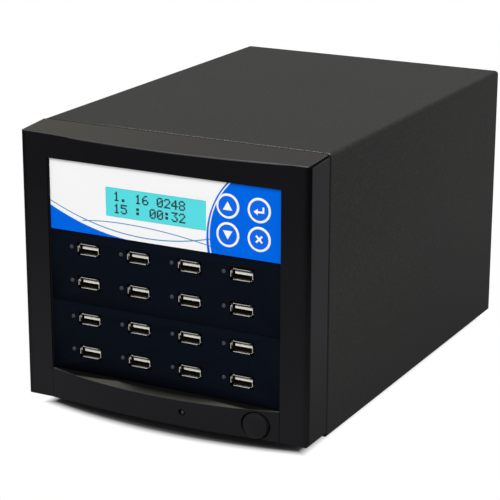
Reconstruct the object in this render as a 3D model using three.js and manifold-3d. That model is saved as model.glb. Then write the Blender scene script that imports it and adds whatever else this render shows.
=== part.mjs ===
import * as THREE from 'three';
import { mergeVertices } from 'three/addons/utils/BufferGeometryUtils.js';
import Module from 'manifold-3d';

// A tower duplicator for usb flash drives: a steel case with three 5.25-inch bays behind a moulded front.
// Lengths are in millimetres. Seen from the front, x runs right, y runs back and z runs up.
// In the case's own frame y is 0 at the seam between moulding and cover, z is 0 at the case's lower edge.

const wasm = await Module();
wasm.setup();

// Gaps and cuts
const fitGap = 0.3;
const filmGap = 0.1;
const seamGap = 0.4;
const overrun = 1;

// Case, whose width and height follow from the bays
const caseDepth = 254.8;
const stileWidth = 18.2;
const bayHead = 16.9;
const coverStep = 0.3;
const coverSheet = 0.8;
const coverBend = 2.2;
const coverLip = 8;
const coverSideFlange = 12;
const coverTopFlange = 8;
const frameSheet = 1;
const frameFlange = 12;
const baseLip = 12;

// Three device bays, one above the other
const bayWidth = 148;
const bayPitch = 42;
const bayCount = 3;
const bayFloor = 20.1;
const bayRim = 0.6;

// Moulded front
const bezelDepth = 22.7;
const bezelWall = 2.4;
const bezelBottom = 1.1;
const bezelTieDepth = 10;
const rimWall = 2;
const rimDepth = 14;
const topBow = 6.6;
const railDrop = 1.8;
const bowInset = 16.2;
const frontEdgeRadius = 1;
const cavityEdgeRadius = 0.5;
const stileCornerRadius = 3;
const hookThickness = 2;
const hookHeight = 10;
const hookBarb = 1.2;
const hookReach = 3;
const hookInset = 7;
const hookRise = 13.9;
const hookDrop = 12.1;

// Lower bar with the power button and the power light
const barTopBow = 11.2;
const barBottomBow = 5.1;
const barWall = 2;
const barEdgeRadius = 0.9;
const ledgeGap = 0.4;
const collarWall = 1.2;
const collarEnd = 16.3;
const buttonRadius = 7.8;
const buttonInset = 13.1;
const buttonZ = 10.3;
const buttonProud = 1.2;
const buttonDome = 0.9;
const buttonTravel = 2.5;
const buttonWing = 10.2;
const buttonWingHeight = 8;
const buttonWingSheet = 1.2;
const buttonStemRadius = 2;
const buttonStem = 2.5;
const lightSpacing = 43.9;
const lightZ = 11.6;
const lightRadius = 1.5;
const lightLength = 5;
const lightRecess = 0.8;
const leadRadius = 0.35;
const leadSpacing = 1.6;
const switchSide = 6;
const switchBody = 5;

// Bay plates
const plateRecess = 1.8;
const plateSheet = 2.4;
const plateSeam = 0.3;
const skirtWall = 1.6;
const skirtDepth = 7;
const earSheet = 1.4;
const earHeight = 26;
const earReach = 22;
const bossRadius = 2.5;
const screwHoleRadius = 1.7;
const boardSheet = 1.6;

// Control panel: film, window, display and keys
const filmSheet = 0.4;
const filmFoot = 0.5;
const filmInset = 0.2;
const windowLeft = 37.5;
const windowRight = 46.2;
const windowHeight = 16.8;
const windowRise = 0.4;
const windowCorner = 0.4;
const displaySide = 3.45;
const displayHead = 4.1;
const displayDepth = 7.2;
const glassRecess = 0.5;
const displayBoardSide = 7.85;
const displayBoardInset = 3;
const keyRadius = 7.15;
const keyProud = 0.2;
const keyTravel = 0.5;
const keyFlange = 0.65;
const keyFlangeSheet = 1;
const keyStemRadius = 2.2;
const keyStem = 1;
const keyInset = 13.3;
const keyAcross = 19.3;
const keyRise = 7.8;
const keyDown = 16.2;
const tactPlungerRadius = 1.75;
const tactPlunger = 1;
const tactBody = 3.5;
const keypadBoardWidth = 34;
const keypadBoardInset = 4;

// Usb sockets and their boards
const socketColumns = 4;
const socketRows = 2;
const socketInset = 24.5;
const socketShiftX = 0.65;
const socketHead = 9.2;
const socketFoot = 12.8;
const socketWidth = 13.1;
const socketHeight = 5.7;
const socketSheet = 0.3;
const socketDepth = 14;
const socketMouthDepth = 9.2;
const socketProud = 0.4;
const flareWidth = 13.9;
const flareHeight = 6.5;
const flareDepth = 1.3;
const flareCorner = 2;
const shellCorner = 0.6;
const tongueWidth = 11.1;
const tongueSheet = 1.84;
const tongueRecess = 0.8;
const tongueRise = 0.7;
const indicatorRadius = 1.5;
const indicatorRise = 0.5;
const indicatorOffset = 11.5;
const usbBoardSide = 7;
const usbBoardInset = 3.5;
const headerDepth = 8.5;
const headerHeight = 8;
const ribbonWidth = 30;
const ribbonSheet = 1;
const ribbonBend = 6;
const ribbonLowerX = -25;
const ribbonUpperX = 10;
const ribbonNear = 2.4;
const ribbonFar = 8.4;

// Feet
const footHeight = 6.5;
const footRadius = 9;
const footTaper = 1;
const footRecess = 2.5;
const footRecessRadius = 3;
const footSpigotRadius = 2.5;
const footSideInset = 24.2;
const footFrontY = 24;
const footBackInset = 26.8;

// Bay cage and the copy controller on its shelf
const cageClearance = 32.8;
const cageFoot = 10;
const cageHead = 1;
const cageWindowFront = 43.6;
const cageWindowHeight = 22;
const controllerSide = 6.7;
const controllerFront = 6;
const controllerEnd = 5.6;
const standoff = 4.7;
const standoffRadius = 3;
const standoffInset = 6;
const chipSide = 30;
const chipHeight = 2.4;
const sinkSide = 34;
const sinkBase = 2;
const sinkHeight = 11;
const sinkFins = 8;
const sinkFinSheet = 1.2;
const memoryWidth = 12;
const memoryLength = 22;
const capacitorRadius = 4;
const capacitorHeight = 12;
const controllerHeaderDepth = 9;

// Power supply
const supplyDepth = 100;
const supplySideGap = 12;
const supplySheet = 1;
const supplyFanInset = 6;
const supplyFanHead = 0.75;
const rockerGap = 5;
const inletGap = 3.5;
const inletEdge = 4.5;
const flangeCorner = 1.2;
const supplyBorder = 4;
const supplyBoardInset = 4.5;
const supplyBoardEnd = 30;
const transformerSide = 32;
const transformerHeight = 27;
const supplySinkHead = 11.9;
const supplySinkSheet = 3;
const supplySinkInset = 7;
const supplyCapacitorRadius = 9;
const supplyCapacitorHeight = 30;
const slotHeight = 2.6;
const slotPitch = 6;

// Mains inlet and rocker switch
const inletFlangeWidth = 31;
const inletFlangeHeight = 24;
const inletFlange = 2.2;
const inletBodyWidth = 26.4;
const inletBodyHeight = 19.4;
const inletBodyDepth = 18;
const inletMouthWidth = 24.4;
const inletMouthHeight = 16.6;
const inletMouthDepth = 16;
const inletChamfer = 4;
const inletCorner = 0.8;
const inletPinWidth = 2;
const inletPinHeight = 4;
const inletPinSpacing = 7;
const inletPinRise = 2;
const inletPinRecess = 1.5;
const inletTabWidth = 6.3;
const inletTabSheet = 0.8;
const inletTabLength = 8;
const rockerFlangeWidth = 15;
const rockerFlangeHeight = 21;
const rockerFlange = 1.8;
const rockerBodyWidth = 12.6;
const rockerBodyHeight = 18.9;
const rockerBodyDepth = 12;
const rockerWidth = 8.8;
const rockerHeight = 15.2;
const rockerFace = 3.4;
const rockerValley = 1.9;
const rockerSkirt = 1;
const rockerPivotRadius = 2.2;
const rockerPinRadius = 1;
const rockerPinReach = 0.9;
const rockerPivotDepth = 1.2;
const rockerClearance = 0.9;
const rockerCavity = 6;
const rockerTilt = THREE.MathUtils.degToRad(9);

// Fans; the exhaust fan fills the height between the power supply and the frame's top
const exhaustFanSizes = {
  rim: 2, depth: 25, corner: 4, screwInset: 4.25, screwRadius: 2.15,
  hub: 18.5, hubWall: 1.5, hubFront: 2, cupWall: 3, strut: 3, strutSheet: 3, tipGap: 1.2,
  shaft: 1.3, bearing: 3.5, bearingFront: 9, bladeSheet: 1.3, bladeInset: 1.5,
};
const supplyFanSizes = {
  side: 60, rim: 1.5, depth: 15, corner: 3, screwInset: 5, screwRadius: 2.15,
  hub: 14, hubWall: 1.2, hubFront: 1, cupWall: 2, strut: 2.5, strutSheet: 2, tipGap: 1.1,
  shaft: 1.1, bearing: 3, bearingFront: 5, bladeSheet: 1.1, bladeInset: 1,
};
const bladeCount = 7;
const strutCount = 4;
const bladeSweep = THREE.MathUtils.degToRad(38);
const bladeLean = THREE.MathUtils.degToRad(12);
const exhaustSideGap = 29.5;
const exhaustFoot = 6.1;
const exhaustHead = 8.6;
const guardWire = 0.8;
const guardEyeRadius = 3.2;
const guardRingShares = [0.26, 0.5, 0.74, 0.98];

// Rear panel and cover screws
const ventInset = 11.5;
const ventGap = 14;
const ventRise = 8;
const ventCount = 9;
const ventHeight = 3;
const panelWindowGap = 0.7;
const thumbHeadRadius = 4.5;
const thumbHead = 6.5;
const thumbCollar = 1.5;
const thumbCollarRadius = 3.6;
const thumbKnurl = 0.5;
const thumbRidges = 10;
const thumbShankRadius = 1.75;
const thumbShank = 9;
const thumbInset = 8;
const thumbRise = 40;
const thumbDrop = 34.7;

// Base pan
const baseSlotLength = 50;
const baseSlotWidth = 3;
const baseSlotPitch = 8;
const baseSlotCount = 5;

// Power harness
const harnessRadius = 3;
const harnessInset = 16;
const harnessRise = 41.6;
const harnessClearance = 15.4;
const harnessInside = 5;
const leadInset = 5.1;
const harnessHole = 3.8;

// Shares and counts that give curves their shape
const humpSoftnessShare = 0.05;
const crownShares = [[0.45, 0.8], [0.8, 0.35], [0.96, 0]];
const bulbShares = [[0.7, 0.35], [1, 1]];
const indicatorShares = [[0.8, 0.2], [1, 0.6]];
const earScrewShares = [[0.5, -0.25], [0.75, 0.25]];
const memorySpreadShare = 0.65;
const capacitorPlaceShare = 0.78;
const capacitorSpreadShare = 1.2;
const middleShare = 0.5;
const cornerSteps = 1;
const smallSteps = 2;
const pinSteps = 3;
const holeSteps = 4;
const roundSteps = 9;
const boreSteps = 12;
const bowSteps = 16;
const turnSteps = 18;
const quarterTurn = Math.PI / 2;

// Places that follow from the sizes above
const bayTop = bayFloor + bayCount * bayPitch;
const caseWidth = bayWidth + 2 * stileWidth;
const caseHeight = bayTop + bayHead;
const bayHalf = bayWidth / 2;
const openingHalf = bayHalf + bayRim;
const openingTop = bayTop + bayRim;
const bowHalfWidth = caseWidth / 2 - bowInset;
const buttonX = bayHalf - buttonInset;
const lightX = buttonX - lightSpacing;
const bezelFront = -bezelDepth;
const railTop = caseHeight - railDrop;
const panelFront = bezelFront + plateRecess;
const coverHalf = caseWidth / 2 - coverStep;
const coverTop = caseHeight - coverStep;
const baseHalf = coverHalf - coverSheet - fitGap;
const baseLow = coverSheet + fitGap;
const baseTop = baseLow + frameSheet;
const frameHalf = baseHalf - frameSheet - fitGap;
const frameLow = baseTop + fitGap;
const frameTop = coverTop - coverSheet - fitGap;
const frameFront = fitGap;
const frameBack = frameFront + frameSheet;
const panelBack = caseDepth - coverSheet - fitGap;
const panelInner = panelBack - frameSheet;
const footX = caseWidth / 2 - footSideInset;
const footBackY = caseDepth - footBackInset;
const supplyFan = { ...supplyFanSizes, bore: supplyFanSizes.side / 2 - supplyFanSizes.rim };
const supplyHeight = supplyFan.side + 2 * (supplyFanHead + supplySheet);
const supplyLow = frameLow;
const supplyTop = supplyLow + supplyHeight;
const supplyBack = panelInner - fitGap;
const supplyFront = supplyBack - supplyDepth;
const supplyMiddle = supplyLow + supplyHeight / 2;
const supplyLeft = supplySideGap - frameHalf;
const supplyFanX = supplyLeft + supplyFanInset + supplyFan.side / 2;
const rockerX = supplyFanX + supplyFan.side / 2 + rockerGap + rockerFlangeWidth / 2;
const inletX = rockerX + rockerFlangeWidth / 2 + inletGap + inletFlangeWidth / 2;
const supplyRight = inletX + inletFlangeWidth / 2 + inletEdge;
const supplyX = (supplyLeft + supplyRight) / 2;
const supplyWidth = supplyRight - supplyLeft;
const exhaustSide = frameTop - frameSheet - supplyTop - exhaustHead - exhaustFoot;
const exhaustFan = {
  ...exhaustFanSizes, side: exhaustSide, bore: exhaustSide / 2 - exhaustFanSizes.rim,
};
const exhaustX = frameHalf - exhaustSideGap - exhaustSide / 2;
const exhaustZ = supplyTop + exhaustFoot + exhaustSide / 2;
const cageInner = bayHalf - fitGap - frameSheet;
const cageFront = frameBack + fitGap;
const cageBack = supplyFront - cageClearance;
const shelfTop = bayTop - bayPitch + frameSheet;
const controllerLow = shelfTop + fitGap + standoff;
const controllerTop = controllerLow + boardSheet;
const controllerHalf = cageInner - controllerSide;
const controllerBack = cageBack - controllerEnd;
const harnessX = controllerHalf - harnessInset;
const harnessLow = supplyLow + harnessRise;
const leadX = supplyRight - leadInset;
const rearmost = caseDepth + fitGap + thumbHead + thumbCollar;
const barHalf = openingHalf - fitGap;
const barTop = bayFloor - ledgeGap;
const barBack = -(bezelTieDepth + fitGap);
const foremost = bezelFront - barBow(barTop - barEdgeRadius);

// Turns a closed three.js geometry into a solid that can be cut and joined.
function solid(geometry) {
  const bare = new THREE.BufferGeometry();
  bare.setAttribute('position', geometry.getAttribute('position'));
  bare.setIndex(geometry.getIndex());
  const merged = mergeVertices(bare);
  const index = merged.getIndex().array;
  const triangles = [];
  for (let i = 0; i < index.length; i += 3) {
    const [a, b, c] = index.slice(i, i + 3);
    if (a !== b && b !== c && c !== a) {
      triangles.push(a, b, c);
    }
  }
  return new wasm.Manifold(new wasm.Mesh({
    numProp: 3,
    vertProperties: merged.getAttribute('position').array,
    triVerts: new Uint32Array(triangles),
  }));
}

// Turns a solid back into a three.js geometry.
function shapeOf(body) {
  const { vertProperties, triVerts } = body.getMesh();
  const geometry = new THREE.BufferGeometry();
  geometry.setAttribute('position', new THREE.BufferAttribute(vertProperties, 3));
  geometry.setIndex(new THREE.BufferAttribute(triVerts, 1));
  geometry.computeVertexNormals();
  return geometry;
}

function joined(...bodies) {
  return bodies.reduce((whole, body) => whole.add(body));
}

function cut(body, ...tools) {
  return tools.reduce((rest, tool) => rest.subtract(tool), body);
}

// Outlines
function outline(points) {
  return new THREE.Shape(points.map(([u, v]) => new THREE.Vector2(u, v)));
}

function rectangle(left, low, right, high) {
  return outline([[left, low], [right, low], [right, high], [left, high]]);
}

function centred(u, v, width, height) {
  return rectangle(u - width / 2, v - height / 2, u + width / 2, v + height / 2);
}

function rounded(left, low, right, high, radius) {
  const shape = new THREE.Shape();
  shape.absarc(right - radius, low + radius, radius, -quarterTurn, 0);
  shape.absarc(right - radius, high - radius, radius, 0, quarterTurn);
  shape.absarc(left + radius, high - radius, radius, quarterTurn, 2 * quarterTurn);
  shape.absarc(left + radius, low + radius, radius, 2 * quarterTurn, 3 * quarterTurn);
  return shape;
}

function disc(u, v, radius) {
  return new THREE.Shape().absarc(u, v, radius, 0, 4 * quarterTurn);
}

function cornered(width, height, chamfer) {
  const u = width / 2;
  const v = height / 2;
  return [
    [u - chamfer, -v], [u, chamfer - v], [u, v - chamfer], [u - chamfer, v],
    [chamfer - u, v], [-u, v - chamfer], [-u, chamfer - v], [chamfer - u, -v],
  ];
}

function pierced(shape, ...holes) {
  shape.holes.push(...holes);
  return shape;
}

// Outlines in x and z, carried from front to back
function alongY(shape, front, back, arcSteps = cornerSteps) {
  const geometry = new THREE.ExtrudeGeometry(shape, {
    depth: back - front, bevelEnabled: false, curveSegments: arcSteps,
  });
  geometry.rotateX(quarterTurn);
  geometry.translate(0, back, 0);
  return solid(geometry);
}

// Outlines in x and y, carried upwards
function alongZ(shape, low, high, arcSteps = cornerSteps) {
  const geometry = new THREE.ExtrudeGeometry(shape, {
    depth: high - low, bevelEnabled: false, curveSegments: arcSteps,
  });
  geometry.translate(0, 0, low);
  return solid(geometry);
}

// Outlines in y and z, carried from left to right
const yzToX = new THREE.Matrix4().makeBasis(
  new THREE.Vector3(0, 1, 0), new THREE.Vector3(0, 0, 1), new THREE.Vector3(1, 0, 0),
);

function strip(shape, left, right, steps, arcSteps = cornerSteps) {
  const geometry = new THREE.ExtrudeGeometry(shape, {
    depth: right - left, steps, bevelEnabled: false, curveSegments: arcSteps,
  });
  geometry.applyMatrix4(yzToX);
  geometry.translate(left, 0, 0);
  return geometry;
}

function alongX(shape, left, right, arcSteps = cornerSteps) {
  return solid(strip(shape, left, right, 1, arcSteps));
}

function block(left, right, front, back, low, high) {
  return alongY(rectangle(left, low, right, high), front, back);
}

function rod(x, z, radius, front, back, arcSteps = pinSteps) {
  return alongY(disc(x, z, radius), front, back, arcSteps);
}

// A profile of radius and y, turned round an axis that runs from front to back
function turned(profile, x = 0, z = 0, steps = turnSteps) {
  const geometry = new THREE.LatheGeometry(profile.map(([r, y]) => new THREE.Vector2(r, y)), steps);
  geometry.translate(x, 0, z);
  return solid(geometry);
}

// A solid through rings of like outline in x and z, each at its own y
function lofted(rings) {
  const size = rings[0].points.length;
  const corners = rings.flatMap(({ y, points }) => points.flatMap(([x, z]) => [x, y, z]));
  const faces = [];
  for (let ring = 0; ring + 1 < rings.length; ring += 1) {
    for (let k = 0; k < size; k += 1) {
      const a = ring * size + k;
      const b = ring * size + (k + 1) % size;
      faces.push(a, a + size, b, b, a + size, b + size);
    }
  }
  const last = (rings.length - 1) * size;
  for (let k = 1; k + 1 < size; k += 1) {
    faces.push(0, k, k + 1, last, last + k + 1, last + k);
  }
  const geometry = new THREE.BufferGeometry();
  geometry.setAttribute('position', new THREE.Float32BufferAttribute(corners, 3));
  geometry.setIndex(faces);
  return solid(geometry);
}

// Cover: one sheet folded over the top and sides, with lips below and a flange round the back
function channelOutline(half, top, bend, low) {
  const shape = new THREE.Shape();
  shape.moveTo(-half, low);
  shape.lineTo(half, low);
  shape.absarc(half - bend, top - bend, bend, 0, quarterTurn);
  shape.absarc(bend - half, top - bend, bend, quarterTurn, 2 * quarterTurn);
  return shape;
}

function cover() {
  const inner = coverHalf - coverSheet;
  const shell = alongY(channelOutline(coverHalf, coverTop, coverBend, 0), seamGap, caseDepth, smallSteps);
  const hollow = alongY(
    channelOutline(inner, coverTop - coverSheet, coverBend - coverSheet, coverSheet),
    0, caseDepth - coverSheet, smallSteps,
  );
  const floorGap = block(coverLip - inner, inner - coverLip, 0, caseDepth + overrun, -overrun, baseTop);
  const backGap = block(
    coverSideFlange - inner, inner - coverSideFlange,
    caseDepth - frameFlange, caseDepth + overrun, -overrun, coverTop - coverTopFlange,
  );
  return cut(shell, hollow, floorGap, backGap, ...thumbPlaces().map(({ x, z }) => (
    rod(x, z, thumbShankRadius + fitGap, panelBack, caseDepth + overrun)
  )));
}

function thumbPlaces() {
  const x = coverHalf - coverSheet - thumbInset;
  return [
    { name: 'thumbscrew_low_left', x: -x, z: thumbRise },
    { name: 'thumbscrew_low_right', x, z: thumbRise },
    { name: 'thumbscrew_high_left', x: -x, z: coverTop - thumbDrop },
    { name: 'thumbscrew_high_right', x, z: coverTop - thumbDrop },
  ];
}

// Base pan: a floor with upturned sides, cooling slots and a hole for each foot
function footPlaces() {
  return [
    { name: 'foot_front_left', x: -footX, y: footFrontY },
    { name: 'foot_front_right', x: footX, y: footFrontY },
    { name: 'foot_back_left', x: -footX, y: footBackY },
    { name: 'foot_back_right', x: footX, y: footBackY },
  ];
}

function basePan() {
  const section = outline([
    [-baseHalf, baseLow], [baseHalf, baseLow], [baseHalf, baseLow + baseLip],
    [baseHalf - frameSheet, baseLow + baseLip], [baseHalf - frameSheet, baseTop],
    [frameSheet - baseHalf, baseTop], [frameSheet - baseHalf, baseLow + baseLip],
    [-baseHalf, baseLow + baseLip],
  ]);
  const slots = [];
  for (let k = 0; k < baseSlotCount; k += 1) {
    const y = (footFrontY + footBackY) / 2 + (k - (baseSlotCount - 1) / 2) * baseSlotPitch;
    for (const side of [-1, 1]) {
      const x = side * (baseSlotLength + baseSlotPitch) / 2;
      slots.push(alongZ(centred(x, y, baseSlotLength, baseSlotWidth), 0, baseTop + overrun));
    }
  }
  const footHoles = footPlaces().map(({ x, y }) => (
    alongZ(disc(x, y, footSpigotRadius + fitGap), 0, baseTop + overrun, holeSteps)
  ));
  return cut(alongY(section, frameFront, panelBack), ...slots, ...footHoles);
}

// Front frame: a steel plate with turned-back edges, open at the bays and behind the lower bar
function frameTray(front, back, sheetFront, sheetBack) {
  const inner = frameHalf - frameSheet;
  const tray = block(-frameHalf, frameHalf, front, back, frameLow, frameTop);
  const space = block(-inner, inner, front - overrun, sheetFront, 0, frameTop - frameSheet);
  const spaceBehind = block(-inner, inner, sheetBack, back + overrun, 0, frameTop - frameSheet);
  return cut(tray, space, spaceBehind);
}

function hookPlaces() {
  const x = caseWidth / 2 - hookInset;
  return [bayFloor + hookRise, bayTop - hookDrop].flatMap((z) => (
    [{ side: -1, x, z }, { side: 1, x, z }]
  ));
}

function frontFrame() {
  const tray = frameTray(frameFront, frameFront + frameFlange, frameFront, frameBack);
  const bays = block(
    -openingHalf, openingHalf, 0, frameBack + overrun, bayFloor - bayRim, openingTop,
  );
  const hookSlots = hookPlaces().map(({ side, x, z }) => {
    const width = hookThickness + 2 * fitGap;
    return alongY(centred(side * x, z, width, hookHeight + 2 * fitGap), 0, frameBack + overrun);
  });
  return cut(tray, bays, ...hookSlots);
}

// Moulded front: a block whose top rail bulges forward, hollowed from behind and opened for the bays.
// The rail's face is lofted from the bowed top edge down to the straight edge of the opening,
// and its top falls a little from the seam to the front.
function hump(x, halfWidth) {
  const soft = (share) => (share + Math.hypot(share, humpSoftnessShare)) / 2;
  return soft(1 - (x / halfWidth) ** 2) / soft(1);
}

function bowed(section, back, halfWidth, bowAt, humpHalfWidth) {
  const geometry = strip(section, -halfWidth, halfWidth, bowSteps);
  const corners = geometry.getAttribute('position');
  for (let i = 0; i < corners.count; i += 1) {
    if (corners.getY(i) < back - overrun) {
      const reach = bowAt(corners.getZ(i)) * hump(corners.getX(i), humpHalfWidth);
      corners.setY(i, corners.getY(i) - reach);
    }
  }
  return solid(geometry);
}

function frontSection(front, back, low, high, radius, middle, drop = 0) {
  const section = new THREE.Shape();
  section.moveTo(back, high);
  section.lineTo(back, low);
  section.absarc(front + radius, low + radius, radius, 3 * quarterTurn, 2 * quarterTurn, true);
  if (middle) {
    section.lineTo(front, middle);
  }
  section.absarc(front + radius, high - drop - radius, radius, 2 * quarterTurn, quarterTurn, true);
  return section;
}

function railBow(z) {
  const rise = (z - openingTop) / (railTop - frontEdgeRadius - openingTop);
  return topBow * Math.min(Math.max(rise, 0), 1);
}

function barBow(z) {
  return barBottomBow + (barTopBow - barBottomBow) * (z - bezelBottom) / (barTop - bezelBottom);
}

function bezelPlan() {
  const side = caseWidth / 2;
  const corner = stileCornerRadius;
  const plan = new THREE.Shape();
  plan.moveTo(side, 0);
  plan.lineTo(-side, 0);
  plan.absarc(corner - side, bezelFront + corner, corner, 2 * quarterTurn, 3 * quarterTurn);
  plan.lineTo(0, bezelFront - 2 * topBow);
  plan.absarc(side - corner, bezelFront + corner, corner, 3 * quarterTurn, 4 * quarterTurn);
  return plan;
}

// Keeps the moulding's outer corners round from front to back
function bezelView() {
  const side = caseWidth / 2;
  const front = bezelFront - 2 * topBow;
  const ring = (top) => rounded(-side, bezelBottom, side, top, coverBend).getPoints(smallSteps)
    .map(({ x, y }) => [x, y]);
  const view = lofted([
    { y: front, points: ring(railTop) }, { y: bezelFront, points: ring(railTop) },
    { y: 0, points: ring(caseHeight) },
  ]);
  return joined(view, block(coverBend - side, side - coverBend, front, 0, bezelBottom, caseHeight));
}

function snapHook({ side, x, z }) {
  const inner = x - hookThickness / 2;
  const outer = x + hookThickness / 2;
  const catchFront = frameBack + fitGap;
  const profile = [
    [inner, bezelFront + bezelWall / 2], [inner, catchFront + hookReach], [outer, catchFront + hookReach],
    [outer + hookBarb, catchFront], [outer, catchFront], [outer, bezelFront + bezelWall / 2],
  ].map(([u, v]) => [side * u, v]);
  return alongZ(outline(profile), z - hookHeight / 2, z + hookHeight / 2);
}

function frontBezel() {
  const side = caseWidth / 2;
  const cavityHalf = side - bezelWall;
  const outerSection = frontSection(
    bezelFront, 0, bezelBottom, caseHeight, frontEdgeRadius, openingTop, railDrop,
  );
  const cavitySection = frontSection(
    bezelFront + bezelWall, overrun, bezelBottom + bezelWall, caseHeight - bezelWall,
    cavityEdgeRadius, openingTop, railDrop,
  );
  const outer = bowed(outerSection, 0, side, railBow, bowHalfWidth)
    .intersect(alongZ(bezelPlan(), 0, caseHeight + overrun, smallSteps))
    .intersect(bezelView());
  const cavity = bowed(cavitySection, overrun, cavityHalf, railBow, bowHalfWidth);
  const rim = block(
    -openingHalf - rimWall, openingHalf + rimWall, bezelFront - topBow, bezelFront + rimDepth,
    bezelBottom, openingTop + rimWall,
  ).intersect(outer);
  const opening = outline([
    [foremost, 0], [-bezelTieDepth, 0], [-bezelTieDepth, bezelBottom + bezelWall],
    [overrun, bezelBottom + bezelWall], [overrun, openingTop], [foremost, openingTop],
  ]);
  const shell = cut(joined(cut(outer, cavity), rim), alongX(opening, -openingHalf, openingHalf));
  return joined(shell, ...hookPlaces().map(snapHook));
}

// Lower bar: a hollow moulding with a crescent ledge on top, a collar for the button and one for the light
function barFrontAt(x, z) {
  return bezelFront - barBow(z) * hump(x, bayHalf);
}

function lowerBar() {
  const outer = bowed(
    frontSection(bezelFront, barBack, bezelBottom, barTop, barEdgeRadius),
    barBack, barHalf, barBow, bayHalf,
  );
  const hollow = bowed(
    frontSection(
      bezelFront + barWall, barBack + overrun, bezelBottom + barWall, barTop - barWall, cavityEdgeRadius,
    ),
    barBack + overrun, barHalf - barWall, barBow, bayHalf,
  );
  const buttonHole = buttonRadius + fitGap;
  const lightHole = lightRadius + fitGap;
  const lightBack = barFrontAt(lightX, lightZ) + lightRecess + lightLength;
  const collars = joined(
    rod(buttonX, buttonZ, buttonHole + collarWall, foremost, -collarEnd, roundSteps),
    rod(lightX, lightZ, lightHole + collarWall, foremost, lightBack, pinSteps),
  ).intersect(outer);
  return cut(
    joined(cut(outer, hollow), collars),
    rod(buttonX, buttonZ, buttonHole, foremost - overrun, barBack, roundSteps),
    rod(lightX, lightZ, lightHole, foremost - overrun, barBack, pinSteps),
  );
}

// Power button: a domed cap in the bar's collar, with two wings behind the collar that hold it in
function powerButton() {
  const crown = barFrontAt(buttonX, buttonZ) - buttonProud;
  const wingFront = fitGap - collarEnd;
  const wingBack = wingFront + buttonWingSheet;
  const cap = turned([
    [0, crown - buttonDome],
    ...crownShares.map(([reach, rise]) => [buttonRadius * reach, crown - buttonDome * rise]),
    [buttonRadius, crown + buttonDome / 2], [buttonRadius, wingBack], [0, wingBack],
  ], buttonX, buttonZ);
  const wings = alongY(centred(buttonX, buttonZ, 2 * buttonWing, buttonWingHeight), wingFront, wingBack);
  const stem = rod(buttonX, buttonZ, buttonStemRadius, wingFront, wingBack + buttonStem);
  return joined(cap, wings, stem);
}

// Power switch board: a strip behind the bar with the button's switch and the power light on long leads
function powerSwitchBoard() {
  const face = -boardSheet;
  const pressed = buttonTravel + fitGap;
  const plungerFront = fitGap - collarEnd + buttonWingSheet + buttonStem + pressed;
  const left = lightX - switchSide;
  const right = buttonX + switchSide;
  const low = bezelBottom + bezelWall + fitGap;
  const lightFront = barFrontAt(lightX, lightZ) + lightRecess;
  const bulb = turned([
    [0, lightFront],
    ...bulbShares.map(([reach, depth]) => [lightRadius * reach, lightFront + lightRadius * depth]),
    [lightRadius, lightFront + lightLength], [0, lightFront + lightLength],
  ], lightX, lightZ, 2 * pinSteps);
  const leads = [-1, 1].map((side) => rod(
    lightX + side * leadSpacing / 2, lightZ, leadRadius,
    lightFront + lightLength - leadRadius, face + leadRadius, 3,
  ));
  return joined(
    block(left, right, face, 0, low, low + 2 * switchSide),
    alongY(centred(buttonX, buttonZ, switchSide, switchSide), face - switchBody, face / 2),
    rod(buttonX, buttonZ, buttonStemRadius, plungerFront, face - switchBody + leadRadius),
    bulb,
    ...leads,
  );
}

// Bay plates: a face with a skirt, an ear on each side that is screwed to the cage, and bosses for its board
function bayLow(bay) {
  return bayFloor + bay * bayPitch + plateSeam / 2;
}

function bayHigh(bay) {
  return bayLow(bay) + bayPitch - plateSeam;
}

function bayMiddle(bay) {
  return (bayLow(bay) + bayHigh(bay)) / 2;
}

function earScrewPlaces(bay) {
  return earScrewShares.map(([along, up]) => (
    { y: cageFront + (earReach - cageFront) * along, z: bayMiddle(bay) + earHeight * up }
  ));
}

function bayPlate(bay, front, bosses, bossEnd) {
  const low = bayLow(bay);
  const high = bayHigh(bay);
  const back = front + plateSheet;
  const skirtBack = back + skirtDepth;
  const earOuter = cageInner - fitGap;
  const tray = cut(
    block(-bayHalf, bayHalf, front, skirtBack, low, high),
    block(
      skirtWall - bayHalf, bayHalf - skirtWall, back, skirtBack + overrun,
      low + skirtWall, high - skirtWall,
    ),
  );
  const ears = [-1, 1].map((side) => {
    const middle = side * (earOuter - earSheet / 2);
    const z = bayMiddle(bay);
    return block(
      middle - earSheet / 2, middle + earSheet / 2, front + plateSheet / 2, earReach,
      z - earHeight / 2, z + earHeight / 2,
    );
  });
  const earHoles = earScrewPlaces(bay).map(({ y, z }) => (
    alongX(disc(y, z, screwHoleRadius), -bayHalf, bayHalf, pinSteps)
  ));
  const posts = bosses.map(({ x, z }) => rod(x, z, bossRadius, back - plateSheet / 2, bossEnd));
  return cut(joined(tray, ...ears, ...posts), ...earHoles);
}

// Control plate, film, window and display
const controlBay = bayCount - 1;
const windowWidth = bayWidth - windowLeft - windowRight;
const windowX = (windowLeft - windowRight) / 2;
const windowZ = bayMiddle(controlBay) + windowRise;
const displayWidth = windowWidth + 2 * displaySide;
const displayHeight = windowHeight + 2 * displayHead;
const displayBoardWidth = windowWidth + 2 * displayBoardSide;
const displayBoardHeight = bayPitch - 2 * displayBoardInset;
const keyRightX = bayHalf - keyInset;
const keyLeftX = keyRightX - keyAcross;
const keyHighZ = bayMiddle(controlBay) + keyRise;
const keyLowZ = keyHighZ - keyDown;
const controlFront = panelFront + filmSheet + fitGap;
const displayBoardFront = controlFront + displayDepth;
const keyBack = controlFront + plateSheet + fitGap;
const tactFront = keyBack + keyFlangeSheet + keyStem + keyTravel + fitGap;
const keypadBoardFront = tactFront + tactPlunger + tactBody;
const keypadX = (keyLeftX + keyRightX) / 2;
const keypadZ = (keyLowZ + keyHighZ) / 2;
const keypadBoardHeight = bayPitch - 2 * keypadBoardInset;

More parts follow.
